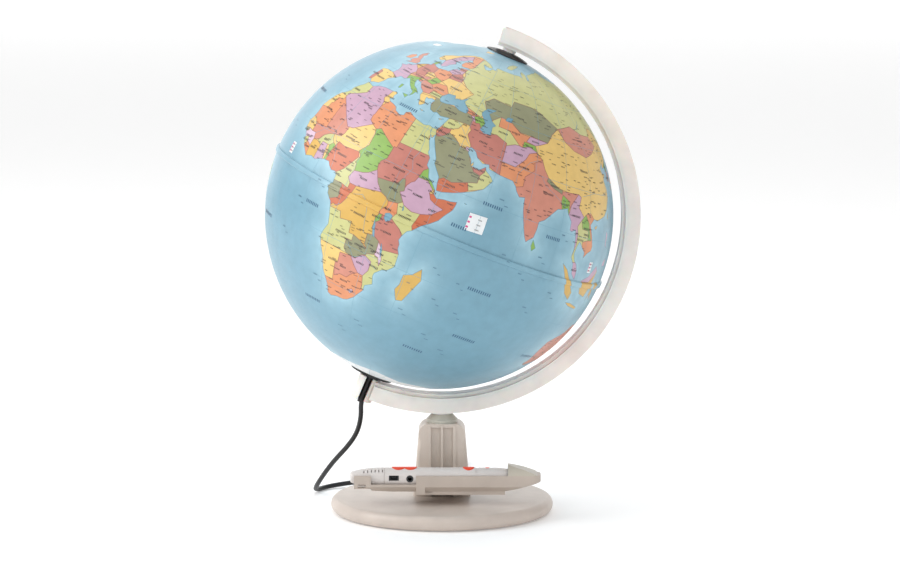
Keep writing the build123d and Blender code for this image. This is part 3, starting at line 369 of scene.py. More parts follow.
LAND = [corners(text) for text in (
    # Africa
    "-6,35.8 -2,35.1 1,36.4 4,36.9 8,36.9 10.2,37.3 11,36.9 10.5,35.8 11,34.8 10,34 11.2,33.2 13.2,32.9"
    " 15.2,32.3 16,31.2 18.5,30.4 20,30.9 20,32.2 21.6,32.9 23.2,32.2 25.2,31.6 29,30.9 31,31.5 32.5,31.2"
    " 32.5,29.9 33.6,28 34,26.5 35.5,24 35.6,23 37,21.5 37.3,19 38.5,18 39.5,15.6 41.2,14.6 43.2,12.6"
    " 43.3,11.5 44.6,10.5 47,11.1 49,11.3 51.2,11.9 51.1,10.4 50.8,9 49,6.3 48,4.4 46,2.5 43.5,0.5 41.5,-1.9"
    " 40.2,-2.7 39.2,-4.7 38.8,-6.3 39.5,-7.5 39.6,-9 40.5,-10.6 40.6,-13 40.7,-15 39,-16.9 37,-17.8"
    " 35,-19.8 34.8,-21 35.5,-23.8 33,-25.3 32.8,-27.5 31.5,-29.2 30,-31.3 27.5,-33.3 25.7,-34 22.5,-34.1"
    " 20,-34.8 18.4,-34.2 18.2,-32 17,-29.5 15.5,-27 14.6,-24 14.4,-22.3 12.5,-18.6 11.8,-16 12.5,-14"
    " 13.7,-11.5 13.2,-9 12.3,-6.1 11.8,-4.6 9.5,-2.6 9,-0.8 9.8,1 9.7,3.5 8.8,4.6 7,4.4 5.5,5.3 4.5,6.4"
    " 2,6.3 0,5.7 -2,4.8 -4.5,5.2 -7.5,4.4 -9.5,5.8 -11.5,7 -13.2,8.7 -13.7,10 -15,11 -16.7,12.4 -16.8,13.5"
    " -17.5,14.7 -16.5,16 -16.2,18.5 -17,21 -16,23.7 -14.5,26.2 -13,27.8 -11.5,28.5 -9.8,30 -9.7,31.5"
    " -8,33.3 -6.8,34.2",
    # Europe and Asia
    "32.5,31.2 34.3,31.3 35,32.8 35.8,35.5 36.1,36.7 34,36.3 32.5,36.1 30.6,36.8 29.2,36.3 27.5,36.8"
    " 26.4,38.5 26.3,39.6 26.8,40.5 25,40.9 23.8,40.2 22.7,40.5 23,39.2 24,38 23.2,37 22.4,36.5 21.5,37.2"
    " 21,38.5 19.5,40.2 19.4,41.8 17,43 15,44.8 13.8,45 12.4,45.3 12.5,44 14,42.5 16,41.8 18.4,40.2 17,40.4"
    " 16.6,39 15.7,38 15.8,39.8 14,40.8 12,41.9 10.3,43.2 8.8,44.4 6.5,43.2 4,43.5 3.1,42.3 0.3,40.5"
    " -0.3,38.8 -1.5,37.2 -4,36.7 -5.6,36.1 -7,37.2 -8.9,37 -9.3,38.8 -8.8,41 -9,43 -6,43.6 -1.8,43.4"
    " -1.2,45.5 -2.5,47.3 -4.6,48.3 -1.6,48.7 -1.5,49.7 1,50 2.5,51.1 4.5,52.5 6.5,53.5 8.5,53.8 8.3,56.5"
    " 10.5,57.6 10.8,56.2 10.2,54.8 12,54.2 14.2,53.9 18.5,54.6 20,54.6 21,56.5 22.5,57.6 24.3,57.3 23.6,59"
    " 27,59.5 29.8,59.9 27,60.4 23,59.9 21.3,61 21.5,63 25,65 24,65.8 22,65.6 21,64.3 17.5,62 17.2,60.6"
    " 18.8,59.8 16.5,58 16,56.3 14.3,55.5 12.9,55.6 11.2,58.8 10.5,59.3 8,58.1 5.5,58.8 5,61.5 8,63.5"
    " 11.5,65 14,67.5 18,69.6 24,71 31,70.2 37,68.8 41,67 38.5,66 33,66.6 37,64 40,64.6 41,66.3 44,66"
    " 44,68.3 50,68.2 54,68.3 60,68.6 65,69.2 68,68.5 67,71 69,73 73,71.5 73,68 75,69 75,72 80,73.2 87,75"
    " 95,76 104,77.6 113,74 122,73 131,71.5 140,72.5 152,71 160,69.7 170,69.8 180,68.8 180,65 178,62.5"
    " 170,60 163,58 162,55 157,51 155.7,55 157,58 163,61.5 160,61.7 155,59.2 148,59.3 141,58.5 135.5,54.8"
    " 140,53 140.5,48.5 135.5,44.5 131,42.8 127.5,39.8 129.4,36.5 128.8,35 126.4,34.6 126.5,37.5 125,39.7"
    " 121.5,39 121.8,40.9 118,39 119,37.3 122.4,37.2 119.5,35 121.8,31.8 122,29.5 119.5,25.5 117,23.3"
    " 113.5,22.2 110.5,21.3 108,21.6 105.8,19.5 107.5,16.5 109.2,13 109,11.5 106.8,10.4 105,8.7 104.8,10.4"
    " 102.5,12.1 100.8,13.4 99.9,12 99.3,9.3 100.5,7.2 102.2,6.2 103.4,4.5 104.1,1.4 103.4,1.5 101.3,3"
    " 100.3,6 98.3,8 98.6,10.5 98,14 97.2,16.8 95.3,15.8 94.3,16.2 94.3,18.8 92.2,21 91.5,22.6 89,21.8"
    " 87,21.4 85,19.5 82.3,16.7 80.2,15.5 80.2,13.2 79.8,10.3 78.2,8.9 77.5,8.1 76.3,9.8 74.8,13 73.3,17"
    " 72.8,19.2 72.6,21.3 70.5,20.8 69,22.3 68.2,23.7 66.7,25 61.6,25.2 57.3,25.8 56.8,27.1 54.5,26.6"
    " 52,27.8 50.8,29.4 48.8,30.3 48,29.8 48.5,28 50.1,26.5 50.8,25 51.3,26.1 51.6,25 51.2,24.4 54,24.2"
    " 56,26 56.4,24.9 58.7,23.6 59.8,22.5 57.8,19 55.2,17.3 52.2,15.7 49,14.2 45.2,12.9 43.5,12.7 42.8,15"
    " 42.5,17 39.2,20.5 39,22 37.2,24.8 35.2,28 34.9,29.4 34.2,27.8 33,29 32.6,29.9",
    # North and Central America
    "-168,66 -162,66.5 -166,68.3 -157,71.3 -145,70 -135,69 -128,70 -115,68.5 -108,68 -96,67.5 -94,72 -86,69"
    " -82,67.5 -87,64.5 -94,61 -94.5,58.8 -92,57 -82.5,55 -82,53 -79.5,51.3 -79,54.5 -77,57 -78,62.3 -73,62"
    " -69.5,59 -65,60 -62,57.5 -57,53 -57,51.5 -60,50.2 -66,50.2 -65,48.5 -64.5,46.2 -61,45.8 -66,43.6"
    " -70,43.6 -70.7,42 -74,40.6 -76,37 -75.6,35.3 -81,31.8 -80,26.8 -80.5,25.2 -81.8,26 -82.8,28.5"
    " -84.3,30 -89,30.3 -94,29.5 -97.3,27.5 -97.8,22.5 -95.8,18.8 -92,18.6 -90.4,21 -87,21.4 -88,18"
    " -88.5,15.8 -83.2,15 -83.6,11 -81.8,9 -79.5,9.5 -77.3,8.6 -78,7.4 -80,7.4 -83,8.2 -85.7,10 -87.6,13"
    " -92.2,14.5 -96,15.7 -101,17.4 -105.5,20.3 -106,22.8 -109.4,25.8 -112.5,30 -114.8,31.7 -112,27.5"
    " -110,23 -112,24.8 -115,28 -117.2,32.6 -120.6,34.6 -124,39.5 -124.4,43 -124,47 -128,51 -131,55"
    " -137,58.6 -145,60.3 -152,59.2 -158,56.5 -164,54.6 -158,58.7 -165,61.5 -161,64",
    # South America
    "-77.3,8.6 -75.5,10.7 -71.7,12.3 -68,10.8 -62,10.7 -59,8.2 -52,5 -50,0.5 -44.5,-2.6 -39.5,-3 -35.2,-5.5"
    " -35,-9 -39,-13.5 -39.5,-18 -41,-22 -45,-23.6 -48.6,-26.5 -50,-30 -53.5,-34 -58,-34.3 -57,-36.5"
    " -62,-39 -65,-41 -65.5,-45 -67.5,-46.5 -66,-48 -69,-51 -68.5,-54 -74,-52 -75.5,-47 -73.5,-42"
    " -73.5,-37 -71.5,-31 -70.3,-22 -70.4,-18.3 -76,-14.3 -79,-8.3 -81.2,-5 -80,-2.5 -80,0.8 -77.5,3.8",
    # Australia, Tasmania, New Zealand
    "113.7,-22.5 116.8,-20.6 122,-18 125,-14.8 129,-15 131,-11.8 136.5,-12 135.8,-15 139.5,-17.5"
    " 141.5,-13 142.5,-10.8 145.3,-15 146.5,-19 150.8,-23.2 153.4,-27.5 152.5,-32.5 150,-37.2 146.4,-39"
    " 143.5,-38.7 140,-37.5 138,-34.5 135.8,-34.8 131,-31.5 124,-33 118,-35 115,-34.2 115.7,-31.8"
    " 113.5,-26.2",
    "144.7,-40.8 148.3,-41 147,-43.5",
    "173,-34.6 178.3,-37.8 175.2,-41.5 174,-39",
    "172.8,-40.6 174,-42 171,-45.5 168.5,-46.6 166.5,-45.8",
    # Antarctica and Greenland
    "-180,-78 -160,-78 -150,-76.5 -130,-74 -100,-72.5 -75,-72 -66,-66.5 -58,-63.3 -62,-69 -62,-75 -45,-78"
    " -30,-77 -15,-72 5,-70 30,-69 50,-66.8 75,-69 90,-66.5 115,-66.5 140,-66.6 165,-71 166,-77.5 180,-78"
    " 180,-83.8 -180,-83.8",
    "-73,78.2 -60,82 -30,83.5 -18,80 -20,75 -22,71 -32,68 -40,65 -43,60 -50,62 -54,67 -51,70 -58,75"
    " -68,76.2",
    # Islands
    "49.3,-12 50.5,-15.8 49.5,-18.5 47.2,-25 45,-25.6 43.4,-22 44.3,-19.8 44.4,-16.2 47,-15",
    "-5.5,50.1 1.4,51.2 1.7,52.8 0,53.5 -1.8,55.5 -3,56 -2,57.6 -4,57.8 -3.2,58.6 -5,58.6 -6,56.6"
    " -4.8,54.8 -3,54 -4.5,53 -5,51.8 -3,51.4",
    "-6,52.2 -9.8,51.7 -10,54 -8,55.2 -5.8,54.6",
    "-22.5,64 -18.5,63.4 -14,64.6 -15,66.2 -20,66 -23.8,65.5",
    "131,34 135.8,33.6 139.8,35 140.8,36 141.8,39.5 141,41.3 139.8,39.5 137,37 133,35.5",
    "140,42 143.2,42 145.3,43.5 141.8,45.4",
    "130,32 131.5,31.4 131.8,33.4 130,33.6",
    "95.3,5.5 98.5,3.8 103,-0.5 106,-3.2 105.8,-5.8 102,-3.8 98.7,1.2",
    "105.3,-6.8 108.5,-6.7 114.4,-7.8 114,-8.6 108,-7.8",
    "109,1.5 113,3.2 116.8,7 119,5.2 117.7,1 116,-4 111,-3 109,0",
    "119,-5.5 120.5,-3 123,-5 121.5,-1 125,1.5 120,1 119.5,-3",
    "131,-0.8 134.5,-1 135,-3.3 138,-1.7 144.5,-3.8 147.8,-6 150.5,-10.5 147,-9.5 143,-9 138,-8.2 133,-4",
    "120.5,18.5 122.3,17.5 121.5,14 124,12.8 120.5,13.8",
    "122.5,7 126.3,7 125.5,9.8 123,8.5",
    "80,9.6 81.8,7.3 80.6,6 79.8,7.6",
    "-84.8,22 -80,23 -74.3,20.2 -77.5,19.9 -82,22.4",
    "-74.4,18.5 -72,19.9 -68.5,18.6 -71,17.8",
    "-80,73.5 -68,70 -62,66.5 -68,62.7 -78,64.5 -73,68 -88,71",
    "-118,71 -105,73 -102,69 -115,69.5",
    "-90,81 -62,82.5 -77,77 -90,76.5",
    "11,79.5 27,80 17,76.7",
    "52,71 57,70.8 68,76.7 60,76 54,73.5",
    "121.5,25.2 120.8,22 120.1,23",
    "108.7,19 110.8,20 110,18.3",
    "142,54 143.5,49 142.2,46 142,50",
    "12.5,38 15.5,38.2 15,36.7",
    "8.3,41 9.7,41 9.5,39.2 8.5,39",
    "23.6,35.5 26.2,35.2 24.7,35",
    "32.4,35 34.5,35.6 33,34.7",
    "53.4,12.6 54.4,12.5 53.8,12.3",
)]
WATER = [corners(text) for text in (
    "28,42 28,43.5 30,45.5 33,45.8 33.5,44.6 36.5,45.2 39,47 38,45 41.5,42.5 41,41 38,41 35,42 31.5,41.3"
    " 29,41.2",
    "49,37.5 51,36.7 53.8,37 53.5,40 54.7,41 52.7,42 50.3,44.5 53,46.8 49,46.2 47.3,44 47.6,43 50.3,40.3",
    "58.3,44.5 61,44.5 61.5,46.3 59,46",
    "31.8,-0.2 33,0.4 34.2,0 33.8,-1.8 32.7,-2.6 31.7,-1.8",
    "29.2,-3.4 29.8,-5 31,-8.7 30.4,-8.5 29.3,-6",
    "34,-9.6 34.9,-11.5 35.2,-14.2 34.4,-12",
    "104,51.6 108,53.5 109.8,55.6 108.5,54",
    "-92,46.7 -85,47.5 -84.5,46.5",
    "-87.5,42 -86,42.2 -85,45.8 -87.5,44.5",
    "-84,45.8 -80,45.5 -82,43.2 -83.5,44.2",
    "-83,41.6 -79,42.8 -80,42.2",
    "36,4.4 36.5,3 36.2,2.6",
)]

# White boxes out at sea with a key to the signs
LEGENDS = [corners(text) for text in (
    "56.2,10.6 62.4,11 62.6,5.2 56.4,4.8",
    "-19.2,6.2 -16.4,6.2 -16.4,2.2 -19.2,2.2",
    "110.4,8 113,8 113,4.2 110.4,4.2",
)]

# %% [markdown]
# A political map is printed in about a dozen inks, so that neighbours never match.

# %% the countries
INKS = {
    "yellow": "#E6C272", "gold": "#D6AC54", "orange": "#DC9064", "deep": "#C66A45", "salmon": "#CE8874",
    "redbrown": "#BE776A", "lilac": "#C29DB4", "rose": "#D6BBCD", "khaki": "#8E8F6E", "lime": "#C6C685",
    "green": "#88B052", "white": "#E9EDEF",
}
COUNTRIES = [(ink, corners(text)) for ink, text in (
    # All northern land that no later outline covers
    ("yellow", "-180,50 180,50 180,86 -180,86"),
    # Northern Africa
    ("lime", "-14,27.7 -8.7,27.7 -8.7,28.8 -5.5,30 -3.5,31 -1.2,32.2 -1.8,36 -6,37 -12,33"),
    ("yellow", "-18,20.8 -13,21.3 -13,23.3 -12,23.5 -12,26 -8.7,26 -8.7,27.7 -14,27.9 -18,24"),
    ("orange", "-18,20.8 -13,21.3 -13,23.3 -12,23.5 -12,26 -8.7,26 -8.7,27.3 -4.8,25 -6.5,25 -5.5,15.5"
               " -9.5,15.4 -12,14.8 -14.5,16.6 -18,16.2"),
    ("salmon", "-4.8,25 3.3,19 4.2,19.2 4.2,16.8 3.5,15.4 0.5,15 -2,14.2 -4,13 -5.5,11 -8,10.3 -9,12.3"
               " -11.5,12.2 -12.2,14.7 -9.5,15.4 -5.5,15.5 -6.5,25"),
    ("lilac", "-8.7,27.3 -8.7,28.8 -5.5,30 -3.5,31 -1.2,32.2 -1.8,36 1,38 8.6,38 8.2,34.5 7.6,33.5 9.1,32"
              " 9.5,30.3 9.8,27 9.5,26.2 10,24.5 12,23.5 5.8,19.4 4.2,19.2 3.3,19 -4.8,25"),
    ("yellow", "8.6,38 12,38 11.6,33.1 10.3,32 9.1,32 7.6,33.5 8.2,34.5"),
    ("orange", "11.6,33.5 16,34 25,33 25,22 25,20 24,20 24,19.5 16,23.5 14.8,22.8 14.2,22.6 12,23.5 10,24.5"
               " 9.5,26.2 9.8,27 9.5,30.3 10.3,32"),
    ("lime", "25,33 34.2,32 35,29 33,28 36,24 37,22 25,22"),
    ("yellow", "4.2,19.2 5.8,19.4 12,23.5 14.2,22.6 15.2,21 15.6,16.9 13.5,14 13.6,13.6 10.5,13.3 7,13"
               " 4.1,13.5 3.6,11.8 2.2,12.4 1,13.4 0.3,14.9 3.5,15.4 4.2,16.8"),
    ("green", "14.2,22.6 14.8,22.8 16,23.5 24,19.5 24,15.7 22.5,14 22.3,12.6 22.9,11 20.5,9 18.6,8.2 15.5,7.6"
              " 15,10 14.2,10 15,12 14.5,13 13.6,13.6 13.5,14 15.6,16.9 15.2,21"),
    ("redbrown", "25,22 37,22 38.6,18 37,17 36.5,14.4 36,12.7 35,11.9 34.2,10.6 34,9.5 33,12.2 32,12"
                 " 31,9.8 28,9.4 24,8.8 23.5,10 22.9,11 22.3,12.6 22.5,14 24,15.7 24,20 25,20"),
    ("khaki", "23.5,8.8 28,9.4 31,9.8 32,12 33,12.2 34,9.5 34.2,8.5 33,7.8 35.3,5.2 34,4.2 30.8,3.6 29.5,4.5"
              " 27.4,5.2 25,7.5"),
    # Western Africa
    ("yellow", "-18,16.6 -14.5,16.6 -12,14.8 -11.5,12.2 -17,12.3"),
    ("khaki", "-17.5,12.3 -13.7,12.6 -13.7,11.7 -15,10.5 -17,11"),
    ("rose", "-15.5,10.9 -13.7,11.7 -13.7,12.6 -11.5,12.2 -9,12.3 -8,10.3 -8.2,7.6 -9.3,8.4 -10.6,8.5"
             " -11.2,10 -12.5,9.9 -13.5,9"),
    ("lime", "-13.8,9 -12.5,9.9 -11.2,10 -10.6,8.5 -11.5,6.6"),
    ("orange", "-12,6.8 -10.6,8.5 -9.3,8.4 -8.2,7.6 -7.4,4"),
    ("gold", "-8.2,7.6 -8,10.3 -5.5,10.5 -2.8,9.6 -3,5 -7.4,4"),
    ("lime", "-5.5,10.5 -4,13 -2,14.2 0.3,14.9 1,13.4 2.2,12.4 0.9,11 -2.8,11 -2.8,9.6"),
    ("lilac", "-3,4.5 -2.8,11 0,11 1.2,5.5"),
    ("yellow", "0,11 0.9,11 1.8,9 1.7,5.8 1.2,5.8"),
    ("green", "0.9,11 2.2,12.4 3.6,11.8 2.7,6 1.7,5.8 1.8,9"),
    ("deep", "2.7,5 2.8,9 3.6,11.8 4.1,13.5 7,13 10.5,13.3 13.6,13.6 14.5,12 13.2,9.6 11.5,6.6 8.6,4"),
    ("lime", "8.6,4 11.5,6.6 13.2,9.6 14.5,12 15,12 14.2,10 15,10 15.5,7.6 14.5,5 16,3.5 16,1.7 9.5,2.2"),
    ("lilac", "14.5,5 15.5,7.6 18.6,8.2 20.5,9 22.9,11 25,7.5 27.4,5.2 22.5,4.2 18.6,3.5 16,3.5"),
    ("khaki", "8,1 9.8,2.2 13.3,2.2 14.3,-0.5 13.8,-2.4 11,-3.8 8,-2"),
    ("deep", "13.3,2.2 16,1.7 16,3.5 18.6,3.5 17.8,0 16,-3.5 14.5,-5 12,-5.2 11,-3.8 13.8,-2.4 14.3,-0.5"),
    # Central, eastern and southern Africa
    ("gold", "12,-6 13,-4.6 14.5,-5 16,-3.5 17.8,0 18.6,3.5 22.5,4.2 27.4,5.2 29.5,4.5 30.8,3.6 31.2,2.2"
             " 29.8,0 29.3,-3 29.2,-6 30.7,-8.3 28.5,-8.5 28.6,-12 29.8,-13.4 27,-11.7 24,-10.9 22.2,-11"
             " 21.8,-7.3 17.5,-8 16.8,-5.9"),
    ("lime", "11,-6 16.8,-5.9 17.5,-8 21.8,-7.3 22.2,-11 24,-10.9 24,-13 22,-13 22,-16.2 23.4,-17.6"
             " 18.5,-17.4 11,-17.3"),
    ("yellow", "11,-17.3 18.5,-17.4 23.4,-17.6 25.2,-17.8 21,-18.3 21,-22 20,-22 20,-28.5 17,-28.6 14,-28.7"),
    ("salmon", "21,-18.3 25.2,-17.8 27.5,-20.5 29.3,-22.2 27,-23.7 25.5,-25.5 22.7,-25.4 20.6,-26.8 20,-24.7"
               " 20,-22 21,-22"),
    ("orange", "15,-28.7 20,-28.5 20,-24.7 20.6,-26.8 22.7,-25.4 25.5,-25.5 27,-23.7 29.3,-22.2 31.3,-22.4"
               " 32,-25.6 34,-27 30,-36 17,-36"),
    ("rose", "27,-29.6 28.5,-28.7 29.4,-29.4 28,-30.6"),
    ("khaki", "22,-13 24,-13 24,-10.9 27,-11.7 29.8,-13.4 28.6,-12 28.5,-8.5 30.7,-8.3 33,-9.4 33.2,-12.5"
              " 33,-14 30.3,-15.3 28.8,-16 27,-17.9 25.2,-17.8 23.4,-17.6 22,-16.2"),
    ("lilac", "25.2,-17.8 27,-17.9 28.8,-16 30.3,-15.6 32.8,-16.7 32.7,-20 31.3,-22.4 29.3,-22.2 27.5,-20.5"),
    ("lime", "30.3,-14.8 33,-14 34.5,-14.5 35.6,-17 35.8,-14.8 34.7,-11.5 41,-10.5 42,-16 36,-27 32,-26.9"
             " 32,-25.6 31.3,-22.4 32.7,-20 32.8,-16.7 30.3,-15.6"),
    ("rose", "33,-9.4 34.6,-9.6 34.9,-12 35.8,-14.8 35.6,-17 34.5,-14.5 33,-14 33.2,-12.5"),
    ("redbrown", "29.4,-4.4 30.8,-3 30.8,-1 34,-1 37.6,-3 39.2,-4.7 41,-7 41,-10.5 34.7,-11.5 33,-9.4"
                 " 30.7,-8.3"),
    ("lime", "34,-1 34,4.2 35.3,5.2 36,4.4 39,3.5 41.9,3.9 41,-0.5 41.6,-2 40,-5 37.6,-3"),
    ("orange", "29.8,-1.2 29.8,0 31.2,2.2 30.8,3.6 34,4.2 35,1 34,-1"),
    ("green", "28.9,-2.7 29.8,-1.2 30.8,-1 30.8,-3 29.4,-4.4"),
    ("lilac", "33,7.8 34.2,8.5 34,9.5 34.2,10.6 35,11.9 36,12.7 36.5,14.4 40,14.4 42.4,12.5 42,11 43,9.4"
              " 45,8.6 48,8 45,5 41.9,3.9 39,3.5 36,4.4 35.3,5.2"),
    ("green", "36.5,14.4 37,17 38.6,18.5 44,12.4 42.4,12.5 40,14.4"),
    ("yellow", "41.8,11 42.4,12.5 43.6,12.4 43.4,11.4"),
    ("deep", "41,-0.5 41.9,3.9 45,5 48,8 45,8.6 43,9.4 42,11 43.4,11.4 52.5,13 52,9 44,-0.5 41.6,-2"),
    ("gold", "42,-11 52,-11 52,-27 42,-27"),
    # The Near and Middle East
    ("khaki", "34.9,29.4 36,29.2 37.6,30.3 39,32 42,31.1 44.7,29.2 46.5,29 48.5,28.5 50,26 51,24.5 52.5,23"
              " 55,22.6 55,20 52,19 47,17 44,17.4 42.8,16.4 40,19 34,27"),
    ("redbrown", "34.9,29.4 35.5,32.7 39,33.4 39,32 37.6,30.3 36,29.2"),
    ("orange", "34,31.4 35,33.2 35.6,32.7 35,29.5"),
    ("deep", "42.8,16.4 44,17.4 47,17 52,19 53.1,16.6 49,13 43,12"),
    ("lime", "52,19 55,20 55,22.6 56,24 56.4,26.5 60,24 60,20 53.1,16.6"),
    ("redbrown", "51.6,24.3 54,25 56.2,26.3 56,24 55,22.6 52.5,23"),
    ("yellow", "39,32 39,33.4 41.3,34.6 42.4,37.2 44.8,37.2 46,35.8 45.5,34 48,31 48.6,29.9 47,30 46.5,29"
               " 44.7,29.2 42,31.1"),
    ("rose", "46.5,29 47,30 48.6,29.8 48.6,28.5"),
    ("lime", "35.6,32.7 35,36.2 36.8,36.8 42.4,37.2 41.3,34.6 39,33.4"),
    ("khaki", "25.5,42 28,42 30,41.5 42,41.6 43.6,41.1 44.8,39.7 44.8,37.2 42.4,37.2 36.8,36.8 35,35.9"
              " 28,35.8 25.5,39"),
    ("redbrown", "44.8,37.2 44.8,39.7 48,39.5 49,38.2 54,37.2 56,38 61,36.5 61,31.5 63,27.2 61.6,25"
                 " 56.8,26.5 50,28.5 48.6,29.9 48,31 45.5,34 46,35.8"),
    ("orange", "40,43.5 44,42.7 46.5,41.9 45,41.2 41.6,41.4"),
    ("green", "45,41.2 46.5,41.9 48.6,41.8 51,40.2 49,38.2 48,39.5 46.5,39"),
    ("lilac", "43.6,41.1 45,41.2 46.5,39 44.8,39.7"),
    # Central, southern and eastern Asia
    ("lilac", "61,31.5 61,35.6 64.5,37.2 71,38.4 74.8,37.3 71.3,36 70,33.5 66.4,29.7 60.9,29.8"),
    ("orange", "60.9,29.8 66.4,29.7 70,33.5 71.3,36 74.8,37.3 77.5,35.4 74,33.5 74.5,31 71,27.8 71,24.5"
               " 68,23.4 61.5,24.8"),
    ("salmon", "68,23.4 71,24.5 71,27.8 74.5,31 74,33.5 77.5,35.4 79,32.5 81,30.3 84,28 88.2,27.5 92,27.8"
               " 97,28.2 95,26 93.3,24 92.2,22 89,21 82,12 77.5,6.5 72,16"),
    ("khaki", "80.3,29 81,30.3 86,28.1 88.2,27.9 88.1,26.5 84,27.4"),
    ("green", "88.1,24.4 88.5,26.4 92.3,25 92.5,20.8 89,21"),
    ("green", "79,10 82.5,10 82.5,5.5 79,5.5"),
    ("lime", "52.5,41.8 54,45 58.5,45.5 61,41.3 66.5,37.4 64.5,37.2 61,35.6 61,36.5 56,38 53,37.2"),
    ("orange", "56,45.2 61.5,44.5 66,42 70.7,42 73,40.9 67.8,37.2 66.5,37.4 61,41.3 56,41.3"),
    ("green", "67.8,37.2 68.3,39.5 73.6,39.5 74.8,37.3 71,38.4"),
    ("lilac", "69.3,39.9 70.9,42.2 80,42.2 76,40.4 73.6,39.5"),
    ("khaki", "46.5,48.5 50,51.5 60,51 61,53.8 71,54.2 77,53.3 83,50.8 87.3,49.1 83,46 80,42.2 70.9,42.4"
              " 66,42.2 61.5,44.5 56,45.2 52,42 47,45.5"),
    ("yellow", "73.6,39.5 76,40.4 80,42.2 83,46 87.3,49.1 91,45 96.5,42.7 105,41.6 112,43.5 119.7,46.7"
               " 116,49.8 120,53 126,52.8 131,47.8 135,48.4 131,43 130,41.5 124,40 126,20 110,16 108,21.5"
               " 105.3,23.2 101.8,21.2 99,22 97.6,24 98.7,27.5 97,28.2 92,27.8 88.2,27.9 86,28.1 81,30.3"
               " 79,32.5 77.5,35.4 74.8,37.3"),
    ("salmon", "87.8,49.2 98,51.9 102,51.4 107,49.9 116,49.8 119.7,46.7 112,43.5 105,41.6 96.5,42.7 91,45"),
    ("lilac", "92.5,20.8 93.3,24 95,26 97,28.2 98.7,27.5 97.6,24 101,21.4 98,18 98.9,15.8 99.4,10 94,15.5"),
    ("lime", "98,18 100,20.4 101,17.6 104.7,17.4 105.4,14.4 102.4,13.6 102.7,11.8 101,6 98,7 99.2,12"
             " 98.9,15.8"),
    ("orange", "100,20.4 102.2,22.4 105.3,23.2 108,21.5 110,12 105,8 104.4,10.4 102.7,11.8 102.4,13.6"
               " 105.4,14.4 104.7,17.4 101,17.6"),
    ("green", "100,20.4 102.2,22.4 104.6,20 106,17 107.5,14.6 105.4,14.4 104.7,17.4 101,17.6"),
    ("lilac", "99.5,6.5 104,7 105,1 100.5,2"),
    ("lilac", "109,1 114.5,1.2 118,4.2 120,8 109,4"),
    ("gold", "94,6.5 100,4 104,0.4 109,0.9 114.5,1.2 118,4.2 126,3 141,0 141,-12 112,-10 102,-6 94,5"),
    ("orange", "141,0 155,-4 155,-12 141,-11"),
    ("rose", "118,20 128,20 128,5 119,6"),
    ("redbrown", "124,38 128,38.5 130,36 127,33 125,34"),
    ("green", "124,40 130,41.8 130,38.5 124,38"),
    ("orange", "129,30 132,30 147,44 146,46 139,46 138,38 129,34.5"),
    ("salmon", "112,-10 155,-10 155,-45 112,-45"),
    ("yellow", "160,-33 180,-33 180,-50 160,-50"),
    # Europe
    ("lime", "27.5,60.3 30,62 29,69 32,71.5 70,79 180,79 180,44 146,44 135,42 131,43 135,48.4 131,47.8"
             " 126,52.8 120,53 116,49.8 107,49.9 98,51.9 87.3,49.1 83,50.8 77,53.3 71,54.2 61,53.8 60,51"
             " 50,51.5 46.5,48.5 49,45 47.5,41.8 44,42.7 38,44 38,47 40,49.5 35,51 31,53.5 30,56 28,58"),
    ("yellow", "-10,36 -10,44.5 -1.6,43.6 3.5,42.5 1,38 -2,35.6 -5.6,35.6"),
    ("redbrown", "-10,36.8 -7.3,37 -6.7,41.8 -8.2,42.2 -10,42"),
    ("lilac", "-5.5,49.2 2.6,51.2 8,49 6.5,46.5 7.6,43.6 3.3,42 -2,43.4"),
    ("green", "6.7,45.5 13.5,46.7 13,45.5 19,41 18.5,39.5 15.5,36 11,36.5 8,38.5 7.5,43.6"),
    ("gold", "3,51.3 7,53.6 6,49.5 2.6,51"),
    ("redbrown", "6,49.5 7,53.6 8.5,55 14.3,54.5 15,51 12.3,50.2 13,48 8,47.5"),
    ("salmon", "6.2,46.3 8,47.6 17,48.3 16,46.8 10,46.4"),
    ("yellow", "12.3,50.3 15,51 18.8,49.6 17,48.4 13,48.6"),
    ("green", "16,46 18.8,49.6 22.5,49 22,47.6 20,46"),
    ("orange", "14.3,54.5 20,55 23.6,54 24,50.8 22.5,49 18.8,49.6 15,51"),
    ("yellow", "22.5,49 24,51.7 31,52.2 35,51 40,49.5 38,47 36,44 30,45 26.5,48"),
    ("redbrown", "23.6,54 28,56.2 31,53.5 31,52.2 24,51.7"),
    ("lilac", "20,55 21,58 28,57.8 28,56.2 23.6,54"),
    ("salmon", "21,58.5 28,60 28,57.7 24,57.6"),
    ("orange", "20,46 22,47.6 26.5,48 30,45 28.6,43.5 23,43.8"),
    ("lime", "22.5,42 23,43.8 28.6,43.6 28,41.9"),
    ("salmon", "13,45.5 16,46.5 20,46 23,43.8 22.5,42 19.4,41.6"),
    ("yellow", "19.2,41 26.4,41.8 27,35 20,35"),
    ("lilac", "11,55.3 11.3,59.2 12.5,62 14,65 20.5,69 24,65.8 21,63.5 17,61 20,58 16,55"),
    ("yellow", "4,57.5 11,58.8 12.5,62 14,65 20.5,69 28,70 31,69.5 31,72 18,71 3,62"),
    ("orange", "20.5,69 24,65.8 21,63.5 20,60 23,59.4 27.5,60.3 30,62 29,69 28,70"),
    ("green", "7.8,55 8,58 11,57.8 13,54.6"),
    ("salmon", "-7,49.5 2,50.6 2,53 -1,60 -8,58 -5.4,54.6 -5.3,52"),
    ("orange", "-11,51 -5.8,52 -5.5,55.2 -8,55.6 -11,54"),
    ("yellow", "-26,62.5 -12,62.5 -12,67.5 -26,67.5"),
    ("white", "-75,84 -10,84 -10,59 -48,59"),
    # The Americas
    ("salmon", "-141,60 -141,71 -95,85 -60,83 -52,60 -50,46 -66.5,43 -71,45.2 -75,45 -79,43 -83,42 -84,46"
               " -95,49 -125,49 -135,55"),
